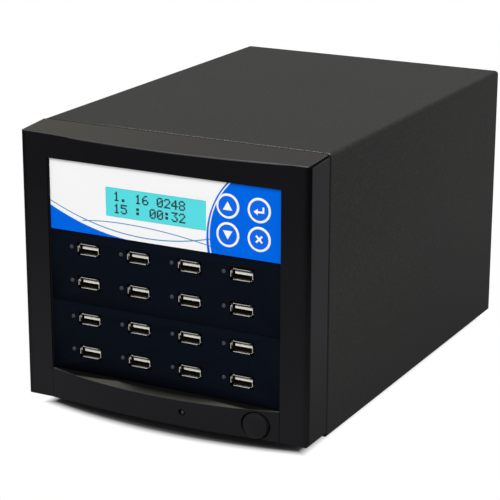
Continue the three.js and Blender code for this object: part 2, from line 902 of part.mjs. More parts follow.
function keyPlaces() {
  return [
    { name: 'key_up', x: keyLeftX, z: keyHighZ },
    { name: 'key_down', x: keyLeftX, z: keyLowZ },
    { name: 'key_enter', x: keyRightX, z: keyHighZ },
    { name: 'key_escape', x: keyRightX, z: keyLowZ },
  ];
}

function controlPlate() {
  const cornerX = displayBoardWidth / 2 - bossRadius;
  const cornerZ = displayBoardHeight / 2 - bossRadius;
  const displayBosses = [[-1, -1], [1, -1], [1, 1], [-1, 1]].map(([u, v]) => (
    { x: windowX + u * cornerX, z: windowZ + v * cornerZ }
  ));
  const plate = bayPlate(controlBay, controlFront, displayBosses, displayBoardFront - fitGap);
  const post = rod(
    keypadX, keypadZ, bossRadius, controlFront + plateSheet / 2, keypadBoardFront - fitGap,
  );
  const displayHole = alongY(
    centred(windowX, windowZ, displayWidth + 2 * fitGap, displayHeight + 2 * fitGap),
    controlFront - overrun, controlFront + plateSheet + overrun,
  );
  const keyHoles = keyPlaces().map(({ x, z }) => rod(
    x, z, keyRadius + fitGap, controlFront - overrun, controlFront + plateSheet + overrun, roundSteps,
  ));
  return cut(joined(plate, post), displayHole, ...keyHoles);
}

function windowOutline(gap) {
  const halfWidth = windowWidth / 2 + gap;
  const halfHeight = windowHeight / 2 + gap;
  return rounded(
    windowX - halfWidth, windowZ - halfHeight, windowX + halfWidth, windowZ + halfHeight, windowCorner,
  );
}

function controlFilm() {
  const low = bayLow(controlBay) + filmFoot;
  const high = bayHigh(controlBay);
  const sheet = pierced(
    rectangle(filmInset - bayHalf, low, bayHalf - filmInset, high), windowOutline(filmGap),
  );
  const keyHoles = keyPlaces().map(({ x, z }) => rod(
    x, z, keyRadius + filmGap, panelFront - overrun, controlFront, roundSteps,
  ));
  return cut(alongY(sheet, panelFront, panelFront + filmSheet), ...keyHoles);
}

function displayModule() {
  const can = alongY(
    centred(windowX, windowZ, displayWidth, displayHeight), controlFront, displayBoardFront + boardSheet / 2,
  );
  const glass = alongY(windowOutline(0), controlFront - overrun, controlFront + glassRecess);
  const board = alongY(
    centred(windowX, windowZ, displayBoardWidth, displayBoardHeight),
    displayBoardFront, displayBoardFront + boardSheet,
  );
  return joined(cut(can, glass), board);
}

// Keys: a round cap flush with the film, a flange behind the plate and a stem over its switch
function key() {
  const front = panelFront - keyProud;
  const flange = keyRadius + keyFlange;
  const flangeBack = keyBack + keyFlangeSheet;
  return turned([
    [0, front], [keyRadius, panelFront], [keyRadius, keyBack], [flange, keyBack],
    [flange, flangeBack], [keyStemRadius, flangeBack], [keyStemRadius, flangeBack + keyStem],
    [0, flangeBack + keyStem],
  ]);
}

function keypadBoard() {
  const board = alongY(
    centred(keypadX, keypadZ, keypadBoardWidth, keypadBoardHeight),
    keypadBoardFront, keypadBoardFront + boardSheet,
  );
  const switches = keyPlaces().flatMap(({ x, z }) => [
    alongY(centred(x, z, switchSide, switchSide), keypadBoardFront - tactBody, keypadBoardFront + boardSheet / 2),
    rod(x, z, tactPlungerRadius, tactFront, keypadBoardFront - tactBody / 2),
  ]);
  return joined(board, ...switches);
}

// Usb plates, sockets and boards
const socketFront = panelFront - socketProud;
const usbBoardFront = socketFront + socketDepth + fitGap;
const usbBoardBack = usbBoardFront + boardSheet;
const usbBoardWidth = bayWidth - 2 * usbBoardSide;
const usbBoardHeight = bayPitch - 2 * usbBoardInset;
const socketPitchX = (bayWidth - 2 * socketInset) / (socketColumns - 1);
const socketPitchZ = (bayPitch - socketHead - socketFoot) / (socketRows - 1);

function socketPlaces(bay) {
  const places = [];
  for (let row = 0; row < socketRows; row += 1) {
    for (let column = 0; column < socketColumns; column += 1) {
      const x = (column - (socketColumns - 1) / 2) * socketPitchX + socketShiftX;
      const z = bayFloor + (bay + 1) * bayPitch - socketHead - row * socketPitchZ;
      places.push({ x, z, row, column });
    }
  }
  return places;
}

function usbPlate(bay) {
  const front = panelFront;
  const through = [front - overrun, front + plateSheet + overrun];
  const cornerX = usbBoardWidth / 2 - bossRadius;
  const cornerZ = usbBoardHeight / 2 - bossRadius;
  const bosses = [[-1, -1], [1, -1], [1, 1], [-1, 1]].map(([u, v]) => (
    { x: u * cornerX, z: bayMiddle(bay) + v * cornerZ }
  ));
  const plate = bayPlate(bay, front, bosses, usbBoardFront - fitGap);
  const mouth = cornered(flareWidth + 2 * fitGap, flareHeight + 2 * fitGap, flareCorner);
  const holes = socketPlaces(bay).flatMap(({ x, z }) => [
    alongY(outline(mouth.map(([u, v]) => [x + u, z + v])), ...through),
    rod(x - indicatorOffset, z + indicatorRise, indicatorRadius + filmGap, ...through, holeSteps),
  ]);
  return cut(plate, ...holes);
}

function usbBoard(bay, headerX) {
  const middle = bayMiddle(bay);
  const board = alongY(centred(0, middle, usbBoardWidth, usbBoardHeight), usbBoardFront, usbBoardBack);
  const header = alongY(
    centred(headerX, middle, ribbonWidth, headerHeight), usbBoardFront + boardSheet / 2,
    usbBoardBack + headerDepth,
  );
  const indicators = socketPlaces(bay).map(({ x, z }) => turned([
    [0, panelFront],
    ...indicatorShares.map(([reach, depth]) => [indicatorRadius * reach, panelFront + indicatorRadius * depth]),
    [indicatorRadius, usbBoardFront + boardSheet / 2], [0, usbBoardFront + boardSheet / 2],
  ], x - indicatorOffset, z + indicatorRise, 2 * holeSteps));
  return joined(board, header, ...indicators);
}

function socket() {
  const flareInner = flareDepth + socketSheet / 2;
  const wall = 2 * socketSheet;
  const shell = lofted([
    { y: socketFront, points: cornered(flareWidth, flareHeight, flareCorner) },
    { y: socketFront + flareDepth, points: cornered(socketWidth, socketHeight, shellCorner) },
    { y: socketFront + socketDepth, points: cornered(socketWidth, socketHeight, shellCorner) },
  ]);
  const mouth = lofted([
    { y: socketFront - overrun, points: cornered(flareWidth, flareHeight, flareCorner) },
    { y: socketFront, points: cornered(flareWidth - wall, flareHeight - wall, flareCorner - socketSheet) },
    { y: socketFront + flareInner, points: cornered(socketWidth - wall, socketHeight - wall, shellCorner / 2) },
    {
      y: socketFront + socketMouthDepth,
      points: cornered(socketWidth - wall, socketHeight - wall, shellCorner / 2),
    },
  ]);
  const tongue = alongY(
    centred(0, tongueRise, tongueWidth, tongueSheet), socketFront + tongueRecess,
    socketFront + socketMouthDepth + overrun,
  );
  return joined(cut(shell, mouth), tongue);
}

// Ribbon cable: a flat strip that runs back from a usb board, folds up past the shelf and over to the controller
function ribbon(bay, middle, clearance) {
  const half = ribbonSheet / 2;
  const start = usbBoardBack + headerDepth + fitGap;
  const end = controllerBack + fitGap;
  const low = bayMiddle(bay);
  const high = controllerTop + headerHeight / 2;
  const turn = cageBack + clearance - ribbonBend;
  const path = new THREE.Shape();
  path.moveTo(start, low + half);
  path.lineTo(start, low - half);
  path.absarc(turn, low + ribbonBend, ribbonBend + half, -quarterTurn, 0);
  path.absarc(turn, high - ribbonBend, ribbonBend + half, 0, quarterTurn);
  path.lineTo(end, high + half);
  path.lineTo(end, high - half);
  path.absarc(turn, high - ribbonBend, ribbonBend - half, quarterTurn, 0, true);
  path.absarc(turn, low + ribbonBend, ribbonBend - half, 0, -quarterTurn, true);
  return alongX(path, middle - ribbonWidth / 2, middle + ribbonWidth / 2);
}

// Bay cage: two side plates on feet, joined by the shelf under the top bay
function bayCage() {
  const outer = cageInner + frameSheet;
  const foot = outer + cageFoot;
  const high = openingTop + cageHead;
  const shelfLow = shelfTop - frameSheet;
  const rightSide = [
    [cageInner, shelfLow], [cageInner, frameLow], [foot, frameLow], [foot, frameLow + frameSheet],
    [outer, frameLow + frameSheet], [outer, high], [cageInner, high], [cageInner, shelfTop],
  ];
  const leftSide = [...rightSide].reverse().map(([x, z]) => [-x, z]);
  const cage = alongY(outline([...rightSide, ...leftSide]), cageFront, cageBack);
  const cuts = [];
  for (let bay = 0; bay < bayCount; bay += 1) {
    for (const { y, z } of earScrewPlaces(bay)) {
      cuts.push(alongX(disc(y, z, screwHoleRadius), -foot, foot, pinSteps));
    }
    const middle = bayMiddle(bay);
    cuts.push(alongX(
      rounded(
        cageWindowFront, middle - cageWindowHeight / 2,
        cageBack - 2 * cageFoot, middle + cageWindowHeight / 2, bossRadius,
      ),
      -foot, foot,
    ));
  }
  return cut(cage, ...cuts);
}

// Copy controller: a board on standoffs with a finned heat sink, memory, capacitors and its headers
function controllerBoard() {
  const half = controllerHalf;
  const back = controllerBack;
  const board = block(-half, half, controllerFront, back, controllerLow, controllerTop);
  const standoffs = [[-1, 0], [1, 0], [1, 1], [-1, 1]].map(([side, end]) => alongZ(
    disc(
      side * (half - standoffInset), end ? back - standoffInset : controllerFront + standoffInset,
      standoffRadius,
    ),
    shelfTop + fitGap, controllerLow + boardSheet / 2, pinSteps,
  ));
  const chipX = -half / 3;
  const chipY = (controllerFront + back) / 2;
  const root = controllerTop - boardSheet / 2;
  const chip = alongZ(centred(chipX, chipY, chipSide, chipSide), root, controllerTop + chipHeight);
  const sinkLow = controllerTop + chipHeight;
  const sink = alongZ(centred(chipX, chipY, sinkSide, sinkSide), sinkLow - sinkBase / 2, sinkLow + sinkBase);
  const fins = [];
  for (let k = 0; k < sinkFins; k += 1) {
    const x = chipX + (k / (sinkFins - 1) - middleShare) * (sinkSide - sinkFinSheet);
    fins.push(alongZ(
      centred(x, chipY, sinkFinSheet, sinkSide), sinkLow + sinkBase / 2, sinkLow + sinkHeight,
    ));
  }
  const memories = [-1, 1].map((side) => alongZ(
    centred(
      chipX + chipSide + memoryWidth, chipY + side * memoryLength * memorySpreadShare,
      memoryWidth, memoryLength,
    ),
    root, controllerTop + chipHeight / 2,
  ));
  const capacitors = [-1, 0, 1].map((place) => alongZ(
    disc(half - 4 * capacitorRadius, chipY + place * 3 * capacitorRadius, capacitorRadius),
    root, controllerTop + capacitorHeight, pinSteps,
  ));
  const headerFront = back - controllerHeaderDepth;
  const headers = [ribbonLowerX, ribbonUpperX].map((x) => block(
    x - ribbonWidth / 2, x + ribbonWidth / 2, headerFront, back, root, controllerTop + headerHeight,
  ));
  const powerHeader = block(
    harnessX - 2 * harnessRadius, harnessX + 2 * harnessRadius, headerFront, back, root,
    controllerTop + headerHeight,
  );
  return joined(
    board, ...standoffs, chip, sink, ...fins, ...memories, ...capacitors, ...headers, powerHeader,
  );
}

// Rear panel: window for the power supply, bore for the exhaust fan and a field of slots
function rearPanel() {
  const tray = frameTray(panelBack - frameFlange, panelBack, panelInner, panelBack);
  const window = block(
    supplyLeft + supplyBorder, supplyRight - supplyBorder, panelInner - overrun,
    panelBack + overrun, supplyLow + supplyBorder, supplyTop - supplyBorder,
  );
  const bore = rod(
    exhaustX, exhaustZ, exhaustFan.bore - panelWindowGap, panelInner - overrun, panelBack + overrun, boreSteps,
  );
  const slots = [];
  const ventLow = exhaustZ - exhaustSide / 2 + ventRise;
  const ventPitch = (exhaustSide - 2 * ventRise - ventHeight) / (ventCount - 1);
  for (let k = 0; k < ventCount; k += 1) {
    const low = ventLow + k * ventPitch;
    slots.push(block(
      ventInset - frameHalf, exhaustX - exhaustSide / 2 - ventGap,
      panelInner - overrun, panelBack + overrun, low, low + ventHeight,
    ));
  }
  const screwHoles = thumbPlaces().map(({ x, z }) => (
    rod(x, z, thumbShankRadius + fitGap, panelInner - overrun, panelBack + overrun)
  ));
  return cut(tray, window, bore, ...slots, ...screwHoles);
}

// Power supply case: a hollow steel box with a slotted fan grille, and cut-outs for inlet, rocker and harness
function supplyCase() {
  const box = block(supplyLeft, supplyRight, supplyFront, supplyBack, supplyLow, supplyTop);
  const inside = block(
    supplyLeft + supplySheet, supplyRight - supplySheet, supplyFront + supplySheet,
    supplyBack - supplySheet, supplyLow + supplySheet, supplyTop - supplySheet,
  );
  const through = [supplyBack - supplySheet - overrun, supplyBack + overrun];
  const bars = [];
  const barCount = Math.floor(supplyFan.bore / slotPitch);
  for (let k = -barCount; k <= barCount; k += 1) {
    const z = supplyMiddle + k * slotPitch;
    bars.push(alongY(centred(supplyFanX, z, 2 * supplyFan.bore, slotHeight), ...through));
  }
  const grille = joined(...bars).intersect(
    rod(supplyFanX, supplyMiddle, supplyFan.bore - slotHeight, ...through, roundSteps),
  );
  const inletHole = alongY(
    centred(inletX, supplyMiddle, inletBodyWidth + 2 * fitGap, inletBodyHeight + 2 * fitGap), ...through,
  );
  const rockerHole = alongY(
    centred(rockerX, supplyMiddle, rockerBodyWidth + 2 * fitGap, rockerBodyHeight + 2 * fitGap), ...through,
  );
  const frontThrough = [supplyFront - overrun, supplyFront + supplySheet + overrun];
  const vents = [];
  for (let k = -barCount; k <= barCount; k += 1) {
    const z = supplyMiddle + k * slotPitch;
    vents.push(alongY(centred(supplyX, z, supplyWidth / 2, slotHeight), ...frontThrough));
  }
  const leadHole = rod(leadX, harnessLow, harnessHole, ...frontThrough);
  return cut(box, inside, grille, inletHole, rockerHole, ...vents, leadHole);
}

// Power supply board: transformer, capacitors and heat sinks on a board with standoffs
function supplyBoard() {
  const low = supplyLow + supplySheet + fitGap;
  const boardLow = low + standoff;
  const top = boardLow + boardSheet;
  const root = top - boardSheet / 2;
  const front = supplyFront + supplySheet + standoff;
  const back = front + supplyDepth - supplyBoardEnd;
  const middle = (front + back) / 2;
  const half = supplyWidth / 2 - supplyBoardInset;
  const board = block(supplyX - half, supplyX + half, front, back, boardLow, top);
  const standoffs = [[-1, 0], [1, 0], [1, 1], [-1, 1]].map(([side, end]) => alongZ(
    disc(
      supplyX + side * (half - standoffInset), end ? back - standoffInset : front + standoffInset,
      standoffRadius,
    ),
    low, root, pinSteps,
  ));
  const transformer = alongZ(
    centred(supplyX, middle, transformerSide, transformerSide), root, top + transformerHeight,
  );
  const sinks = [-1, 1].map((side) => alongZ(
    centred(supplyX + side * half / 2, middle, supplySinkSheet, back - front - 2 * supplySinkInset),
    root, supplyTop - supplySinkHead,
  ));
  const capacitors = [-1, 1].map((side) => alongZ(
    disc(
      supplyX - half * capacitorPlaceShare, middle + side * supplyCapacitorRadius * capacitorSpreadShare,
      supplyCapacitorRadius,
    ),
    root, top + supplyCapacitorHeight, pinSteps,
  ));
  return joined(board, ...standoffs, transformer, ...sinks, ...capacitors);
}

// Mains inlet: a flanged socket with a chamfered mouth, three pins and three tabs behind
const inletBack = supplyBack + fitGap;

function inletSocket() {
  const flange = alongY(
    rounded(
      inletX - inletFlangeWidth / 2, supplyMiddle - inletFlangeHeight / 2,
      inletX + inletFlangeWidth / 2, supplyMiddle + inletFlangeHeight / 2, flangeCorner,
    ),
    inletBack, inletBack + inletFlange,
  );
  const bodyFront = supplyBack - inletBodyDepth;
  const body = alongY(
    centred(inletX, supplyMiddle, inletBodyWidth, inletBodyHeight), bodyFront, inletBack + inletFlange / 2,
  );
  const mouthBack = inletBack + inletFlange;
  const mouthFront = mouthBack - inletMouthDepth;
  const u = inletMouthWidth / 2;
  const v = inletMouthHeight / 2;
  const mouth = alongY(outline([
    [inletX - u + inletCorner, supplyMiddle - v], [inletX + u - inletCorner, supplyMiddle - v],
    [inletX + u, supplyMiddle - v + inletCorner], [inletX + u, supplyMiddle + v - inletChamfer],
    [inletX + u - inletChamfer, supplyMiddle + v], [inletX - u + inletChamfer, supplyMiddle + v],
    [inletX - u, supplyMiddle + v - inletChamfer], [inletX - u, supplyMiddle - v + inletCorner],
  ]), mouthFront, mouthBack + overrun);
  const pinPlaces = [[-1, -1], [0, 1], [1, -1]].map(([side, rise]) => (
    { x: inletX + side * inletPinSpacing, z: supplyMiddle + rise * inletPinRise }
  ));
  const pins = pinPlaces.map(({ x, z }) => alongY(
    centred(x, z, inletPinWidth, inletPinHeight), mouthFront - overrun, mouthBack - inletPinRecess,
  ));
  const tabs = pinPlaces.map(({ x, z }) => alongY(
    centred(x, z, inletTabSheet, inletTabWidth), bodyFront - inletTabLength, bodyFront + overrun,
  ));
  return joined(cut(joined(flange, body), mouth), ...pins, ...tabs);
}

// Rocker switch: a hollow frame with bearing holes, and a rocker on two short pins
const pivotY = inletBack + rockerFlange - rockerPivotDepth;

function rockerFrame() {
  const flange = alongY(
    rounded(
      rockerX - rockerFlangeWidth / 2, supplyMiddle - rockerFlangeHeight / 2,
      rockerX + rockerFlangeWidth / 2, supplyMiddle + rockerFlangeHeight / 2, flangeCorner,
    ),
    inletBack, inletBack + rockerFlange,
  );
  const bodyFront = supplyBack - rockerBodyDepth;
  const body = alongY(
    centred(rockerX, supplyMiddle, rockerBodyWidth, rockerBodyHeight), bodyFront, inletBack + rockerFlange / 2,
  );
  const cavity = alongY(
    centred(rockerX, supplyMiddle, rockerWidth + 2 * fitGap, rockerHeight + 2 * rockerClearance),
    pivotY - rockerCavity, inletBack + rockerFlange + overrun,
  );
  const pinHalf = rockerWidth / 2 + rockerPinReach + fitGap;
  const bearing = alongX(
    disc(pivotY, supplyMiddle, rockerPinRadius + fitGap), rockerX - pinHalf, rockerX + pinHalf, pinSteps,
  );
  const tabs = [-1, 1].map((side) => alongY(
    centred(rockerX, supplyMiddle + side * rockerBodyHeight / 4, inletTabWidth, inletTabSheet),
    bodyFront - inletTabLength, bodyFront + overrun,
  ));
  return joined(cut(joined(flange, body), cavity, bearing), ...tabs);
}

// The rocker is drawn level about its own pivot; its mesh is tilted to rest on its off side.
function rocker() {
  const half = rockerHeight / 2;
  const paddle = outline([
    [-rockerSkirt, -half], [rockerFace, -half], [rockerValley, 0], [rockerFace, half], [-rockerSkirt, half],
  ]);
  const barrel = disc(0, 0, rockerPivotRadius);
  const pin = disc(0, 0, rockerPinRadius);
  const pinHalf = rockerWidth / 2 + rockerPinReach;
  return joined(
    alongX(paddle, -rockerWidth / 2, rockerWidth / 2),
    alongX(barrel, -rockerWidth / 2, rockerWidth / 2, pinSteps),
    alongX(pin, -pinHalf, pinHalf, pinSteps),
  );
}

// Fans, drawn about their own axis with their intake side at y 0
function fanFrame(fan) {
  const half = fan.side / 2;
  const hole = half - fan.screwInset;
  const screwHoles = [[-1, -1], [1, -1], [1, 1], [-1, 1]].map(([u, v]) => (
    rod(u * hole, v * hole, fan.screwRadius, -overrun, fan.depth + overrun)
  ));
  const square = cut(
    alongY(rounded(-half, -half, half, half, fan.corner), 0, fan.depth),
    rod(0, 0, fan.bore, -overrun, fan.depth + overrun, boreSteps),
    ...screwHoles,
  );
  const cup = rod(0, 0, fan.hub, fan.depth - fan.cupWall, fan.depth, roundSteps);
  const struts = [];
  for (let k = 0; k < strutCount; k += 1) {
    const geometry = new THREE.BoxGeometry(fan.bore - fan.hub / 2 + fan.strut / 2, fan.strutSheet, fan.strut);
    geometry.translate((fan.bore + fan.hub / 2 + fan.strut / 2) / 2, fan.depth - fan.strutSheet / 2, 0);
    geometry.rotateY((k + middleShare) * 4 * quarterTurn / strutCount);
    struts.push(solid(geometry));
  }
  const bearing = rod(0, 0, fan.bearing, fan.bearingFront, fan.depth - fan.cupWall / 2);
  const bore = rod(0, 0, fan.shaft + fitGap, fan.bearingFront - overrun, fan.depth - fan.cupWall / 2);
  return cut(joined(square, cup, ...struts, bearing), bore);
}

// One blade: a thin slab that climbs like a screw from hub to tip
function blade(fan, angle) {
  const root = fan.hub - fan.hubWall / 2;
  const span = fan.bore - fan.tipGap - root;
  const front = fan.hubFront + fan.bladeInset;
  const height = fan.depth - fan.cupWall - fitGap - fan.bladeInset - front - fan.bladeSheet;
  const geometry = new THREE.BoxGeometry(1, 1, 1, 1, 1, 3);
  const corners = geometry.getAttribute('position');
  for (let i = 0; i < corners.count; i += 1) {
    const along = corners.getX(i) + middleShare;
    const across = corners.getZ(i);
    const radius = root + along * span;
    const turn = angle + across * bladeSweep + along * bladeLean;
    const y = front + (across + middleShare) * height + (corners.getY(i) + middleShare) * fan.bladeSheet;
    corners.setXYZ(i, radius * Math.cos(turn), y, radius * Math.sin(turn));
  }
  return geometry;
}

function fanRotor(fan) {
  const back = fan.depth - fan.cupWall - fitGap;
  const inner = fan.hub - fan.hubWall;
  const wallBack = fan.hubFront + fan.hubWall;
  const hub = turned([
    [0, fan.hubFront], [fan.hub - fan.hubWall, fan.hubFront], [fan.hub, wallBack], [fan.hub, back],
    [inner, back], [inner, wallBack], [fan.shaft, wallBack], [fan.shaft, back], [0, back],
  ], 0, 0, 5 * pinSteps);
  const blades = [];
  for (let k = 0; k < bladeCount; k += 1) {
    blades.push(solid(blade(fan, k * 4 * quarterTurn / bladeCount)));
  }
  return joined(hub, ...blades);
}

// Fan guard: round wires on four diagonal wires that end in screw eyes
function wireRing(x, z, radius, steps) {
  const geometry = new THREE.TorusGeometry(radius, guardWire, 4, steps);
  geometry.rotateX(quarterTurn);
  geometry.translate(x, 0, z);
  return solid(geometry);
}

function fanGuard() {
  const hole = exhaustFan.side / 2 - exhaustFan.screwInset;
  const reach = Math.hypot(hole, hole) - guardEyeRadius;
  const rings = guardRingShares.map((share) => (
    wireRing(0, 0, share * exhaustFan.bore, Math.round((1 + share) * roundSteps))
  ));
  const inner = guardRingShares[0] * exhaustFan.bore - guardWire / 2;
  const parts = [...rings];
  for (let k = 0; k < strutCount; k += 1) {
    const turn = (k + middleShare) * 4 * quarterTurn / strutCount;
    const wire = new THREE.CylinderGeometry(guardWire, guardWire, reach - inner, 4);
    wire.rotateZ(quarterTurn);
    wire.translate((reach + inner) / 2, 0, 0);
    wire.rotateY(turn);
    parts.push(solid(wire));
    const eye = reach + guardEyeRadius;
    parts.push(wireRing(eye * Math.cos(turn), -eye * Math.sin(turn), guardEyeRadius, 2 * pinSteps));
  }
  return joined(...parts);
}

// Thumbscrew: a knurled head on a collar, with the shank running forward through flange and panel
function thumbscrew() {
  const knurl = [];
  for (let k = 0; k < 2 * thumbRidges; k += 1) {
    const radius = k % 2 ? thumbHeadRadius - thumbKnurl : thumbHeadRadius;
    const turn = k * 2 * quarterTurn / thumbRidges;
    knurl.push([radius * Math.cos(turn), radius * Math.sin(turn)]);
  }
  return joined(
    alongY(outline(knurl), thumbCollar, thumbCollar + thumbHead),
    rod(0, 0, thumbCollarRadius, 0, thumbCollar + thumbHead / 2, smallSteps + pinSteps),
    rod(0, 0, thumbShankRadius, -thumbShank, thumbCollar),
  );
}

// Foot: a tapered rubber puck with a spigot up through the base pan and a screw recess below
function foot() {
  const top = baseLow - fitGap;
  const geometry = new THREE.LatheGeometry([
    [0, footRecess - footHeight], [footRecessRadius, footRecess - footHeight],
    [footRecessRadius, -footHeight], [footRadius - footTaper, -footHeight],
    [footRadius, top], [footSpigotRadius, top], [footSpigotRadius, baseTop], [0, baseTop],
  ].map(([r, z]) => new THREE.Vector2(r, z)), 3 * holeSteps);
  geometry.rotateX(quarterTurn);
  return solid(geometry);
}

// Harness: a round bundle of wires from the supply's side hole up to the controller's power header
function harness() {
  const rise = cageBack + harnessClearance;
  const high = controllerTop + headerHeight / 2;
  const bend = 3 * harnessRadius;
  const end = controllerBack + fitGap;
  const path = new THREE.CatmullRomCurve3([
    new THREE.Vector3(leadX, supplyFront + harnessInside, harnessLow),
    new THREE.Vector3(leadX, supplyFront - harnessInside, harnessLow),
    new THREE.Vector3(leadX, rise, harnessLow + bend),
    new THREE.Vector3(harnessX, rise, (harnessLow + high) / 2),
    new THREE.Vector3(harnessX, rise, high - bend),
    new THREE.Vector3(harnessX, end + harnessInside, high),
    new THREE.Vector3(harnessX, end, high),
  ]);
  const section = disc(0, 0, harnessRadius);
  return solid(new THREE.ExtrudeGeometry(section, {
    steps: 4 * pinSteps, bevelEnabled: false, extrudePath: path, curveSegments: pinSteps,
  }));
}

// Finishes
function finish(color, roughness, metalness) {
  return new THREE.MeshStandardMaterial({ color, roughness, metalness });
}

const coated = finish('#2b2b2c', 0.62, 0.2);
const moulded = finish('#242426', 0.5, 0);
const plain = finish('#15171c', 0.55, 0);
const zinc = finish('#a9adb0', 0.4, 0.8);
const nickel = finish('#e6e1d7', 0.3, 0.9);
const board = finish('#1d5a34', 0.55, 0);
const filmPrint = finish('#f7f7f7', 0.35, 0);
const blue = finish('#0066e6', 0.35, 0);
const glass = finish('#54e0e6', 0.15, 0);
const rubber = finish('#1a1a1a', 0.9, 0);
const fanPlastic = finish('#1c1c1e', 0.5, 0);
const cable = finish('#8c9196', 0.6, 0);

// Assembly
const chassis = new THREE.Group();

function place(name, body, material, position = [0, 0, 0]) {
  const mesh = new THREE.Mesh(body instanceof THREE.BufferGeometry ? body : shapeOf(body), material);
  mesh.name = name;
  mesh.position.set(...position);
  chassis.add(mesh);
  return mesh;
}

place('cover', cover(), coated);
place('base_pan', basePan(), zinc);
place('front_frame', frontFrame(), zinc);
place('rear_panel', rearPanel(), zinc);
place('bay_cage', bayCage(), zinc);
place('front_bezel', frontBezel(), moulded);
place('lower_bar', lowerBar(), moulded);
place('power_button', powerButton(), moulded);
place('power_switch_board', powerSwitchBoard(), board);

place('control_plate', controlPlate(), plain);
place('control_film', controlFilm(), filmPrint);
place('display_window', alongY(windowOutline(0), panelFront, panelFront + filmSheet), glass);
place('display_module', displayModule(), zinc);
place('keypad_board', keypadBoard(), board);
const keyShape = shapeOf(key());
keyPlaces().forEach(({ name, x, z }) => place(name, keyShape, blue, [x, 0, z]));

const socketShape = shapeOf(socket());
const usbBays = [
  { level: 'lower', ribbonX: ribbonLowerX, clearance: ribbonFar },
  { level: 'upper', ribbonX: ribbonUpperX, clearance: ribbonNear },
];
usbBays.forEach(({ level, ribbonX, clearance }, bay) => {
  place(`usb_plate_${level}`, usbPlate(bay), plain);
  place(`usb_board_${level}`, usbBoard(bay, ribbonX), board);
  place(`ribbon_${level}`, ribbon(bay, ribbonX, clearance), cable);
  socketPlaces(bay).forEach(({ x, z, row, column }) => {
    const line = (1 - bay) * socketRows + row + 1;
    place(`usb_socket_${line}_${column + 1}`, socketShape, nickel, [x, 0, z]);
  });
});
place('controller_board', controllerBoard(), board);

place('supply_case', supplyCase(), zinc);
place('supply_board', supplyBoard(), board);
const supplyFanFront = supplyBack - supplySheet - fitGap - supplyFan.depth;
place('supply_fan_frame', fanFrame(supplyFan), fanPlastic, [supplyFanX, supplyFanFront, supplyMiddle]);
place('supply_fan_rotor', fanRotor(supplyFan), fanPlastic, [supplyFanX, supplyFanFront, supplyMiddle]);
place('inlet_socket', inletSocket(), plain);
place('rocker_frame', rockerFrame(), plain);
place('rocker', rocker(), plain, [rockerX, pivotY, supplyMiddle]).rotation.x = -rockerTilt;
place('power_harness', harness(), cable);

const exhaustFront = panelInner - fitGap - exhaustFan.depth;
place('exhaust_fan_frame', fanFrame(exhaustFan), fanPlastic, [exhaustX, exhaustFront, exhaustZ]);
place('exhaust_fan_rotor', fanRotor(exhaustFan), fanPlastic, [exhaustX, exhaustFront, exhaustZ]);
place('fan_guard', fanGuard(), nickel, [exhaustX, panelBack + fitGap + guardWire, exhaustZ]);

const thumbShape = shapeOf(thumbscrew());
thumbPlaces().forEach(({ name, x, z }) => place(name, thumbShape, plain, [x, caseDepth + fitGap, z]));
const footShape = shapeOf(foot());
footPlaces().forEach(({ name, x, y }) => place(name, footShape, rubber, [x, y, 0]));

// The part stands on its feet, centred under its own box.
chassis.position.set(0, -(foremost + rearmost) / 2, footHeight);
const duplicator = new THREE.Group();
duplicator.add(chassis);

export default duplicator;
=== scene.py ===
# A tower that copies one usb flash drive to fifteen more: a black steel case behind a moulded front.
# Lengths are in metres. Seen from the front, x runs right, y runs back and z runs up.
import math

import bmesh
import bpy
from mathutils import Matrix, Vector


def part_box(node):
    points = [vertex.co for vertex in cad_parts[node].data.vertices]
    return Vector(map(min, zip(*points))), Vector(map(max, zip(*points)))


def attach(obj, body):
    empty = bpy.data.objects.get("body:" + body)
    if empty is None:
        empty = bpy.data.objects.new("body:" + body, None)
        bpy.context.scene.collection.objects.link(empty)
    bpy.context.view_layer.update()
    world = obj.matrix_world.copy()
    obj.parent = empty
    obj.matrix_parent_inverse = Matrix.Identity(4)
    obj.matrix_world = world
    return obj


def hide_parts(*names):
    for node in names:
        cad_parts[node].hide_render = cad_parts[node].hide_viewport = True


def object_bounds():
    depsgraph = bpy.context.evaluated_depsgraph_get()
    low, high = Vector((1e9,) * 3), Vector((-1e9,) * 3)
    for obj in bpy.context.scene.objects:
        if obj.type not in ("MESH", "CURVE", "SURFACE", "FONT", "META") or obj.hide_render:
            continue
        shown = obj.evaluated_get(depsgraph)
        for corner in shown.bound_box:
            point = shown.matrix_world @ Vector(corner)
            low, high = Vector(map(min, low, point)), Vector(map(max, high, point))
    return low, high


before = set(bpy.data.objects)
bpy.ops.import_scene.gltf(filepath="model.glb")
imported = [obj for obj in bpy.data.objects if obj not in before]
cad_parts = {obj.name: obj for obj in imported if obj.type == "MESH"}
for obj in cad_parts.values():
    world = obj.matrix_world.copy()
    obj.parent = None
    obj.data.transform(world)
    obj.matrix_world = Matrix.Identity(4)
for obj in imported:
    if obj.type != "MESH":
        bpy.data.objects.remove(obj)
solid_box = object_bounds()

# Cover: one steel sheet folded down over the top and both sides, held by four thumbscrews behind.
# It is powder coated black, and the coat leaves a fine even grain that sparkles a little.
# A painted shadow darkens it along the seam, and above that the coat is rubbed through in small pale spots,
# partly painted highlights.
mm = 0.001


def paint(code):
    """A shader colour from a six-digit colour as the eye reads it."""
    parts = [int(code[k:k + 2], 16) / 255 for k in (0, 2, 4)]
    return [p / 12.92 if p <= 0.04045 else ((p + 0.055) / 1.055) ** 2.4 for p in parts] + [1]


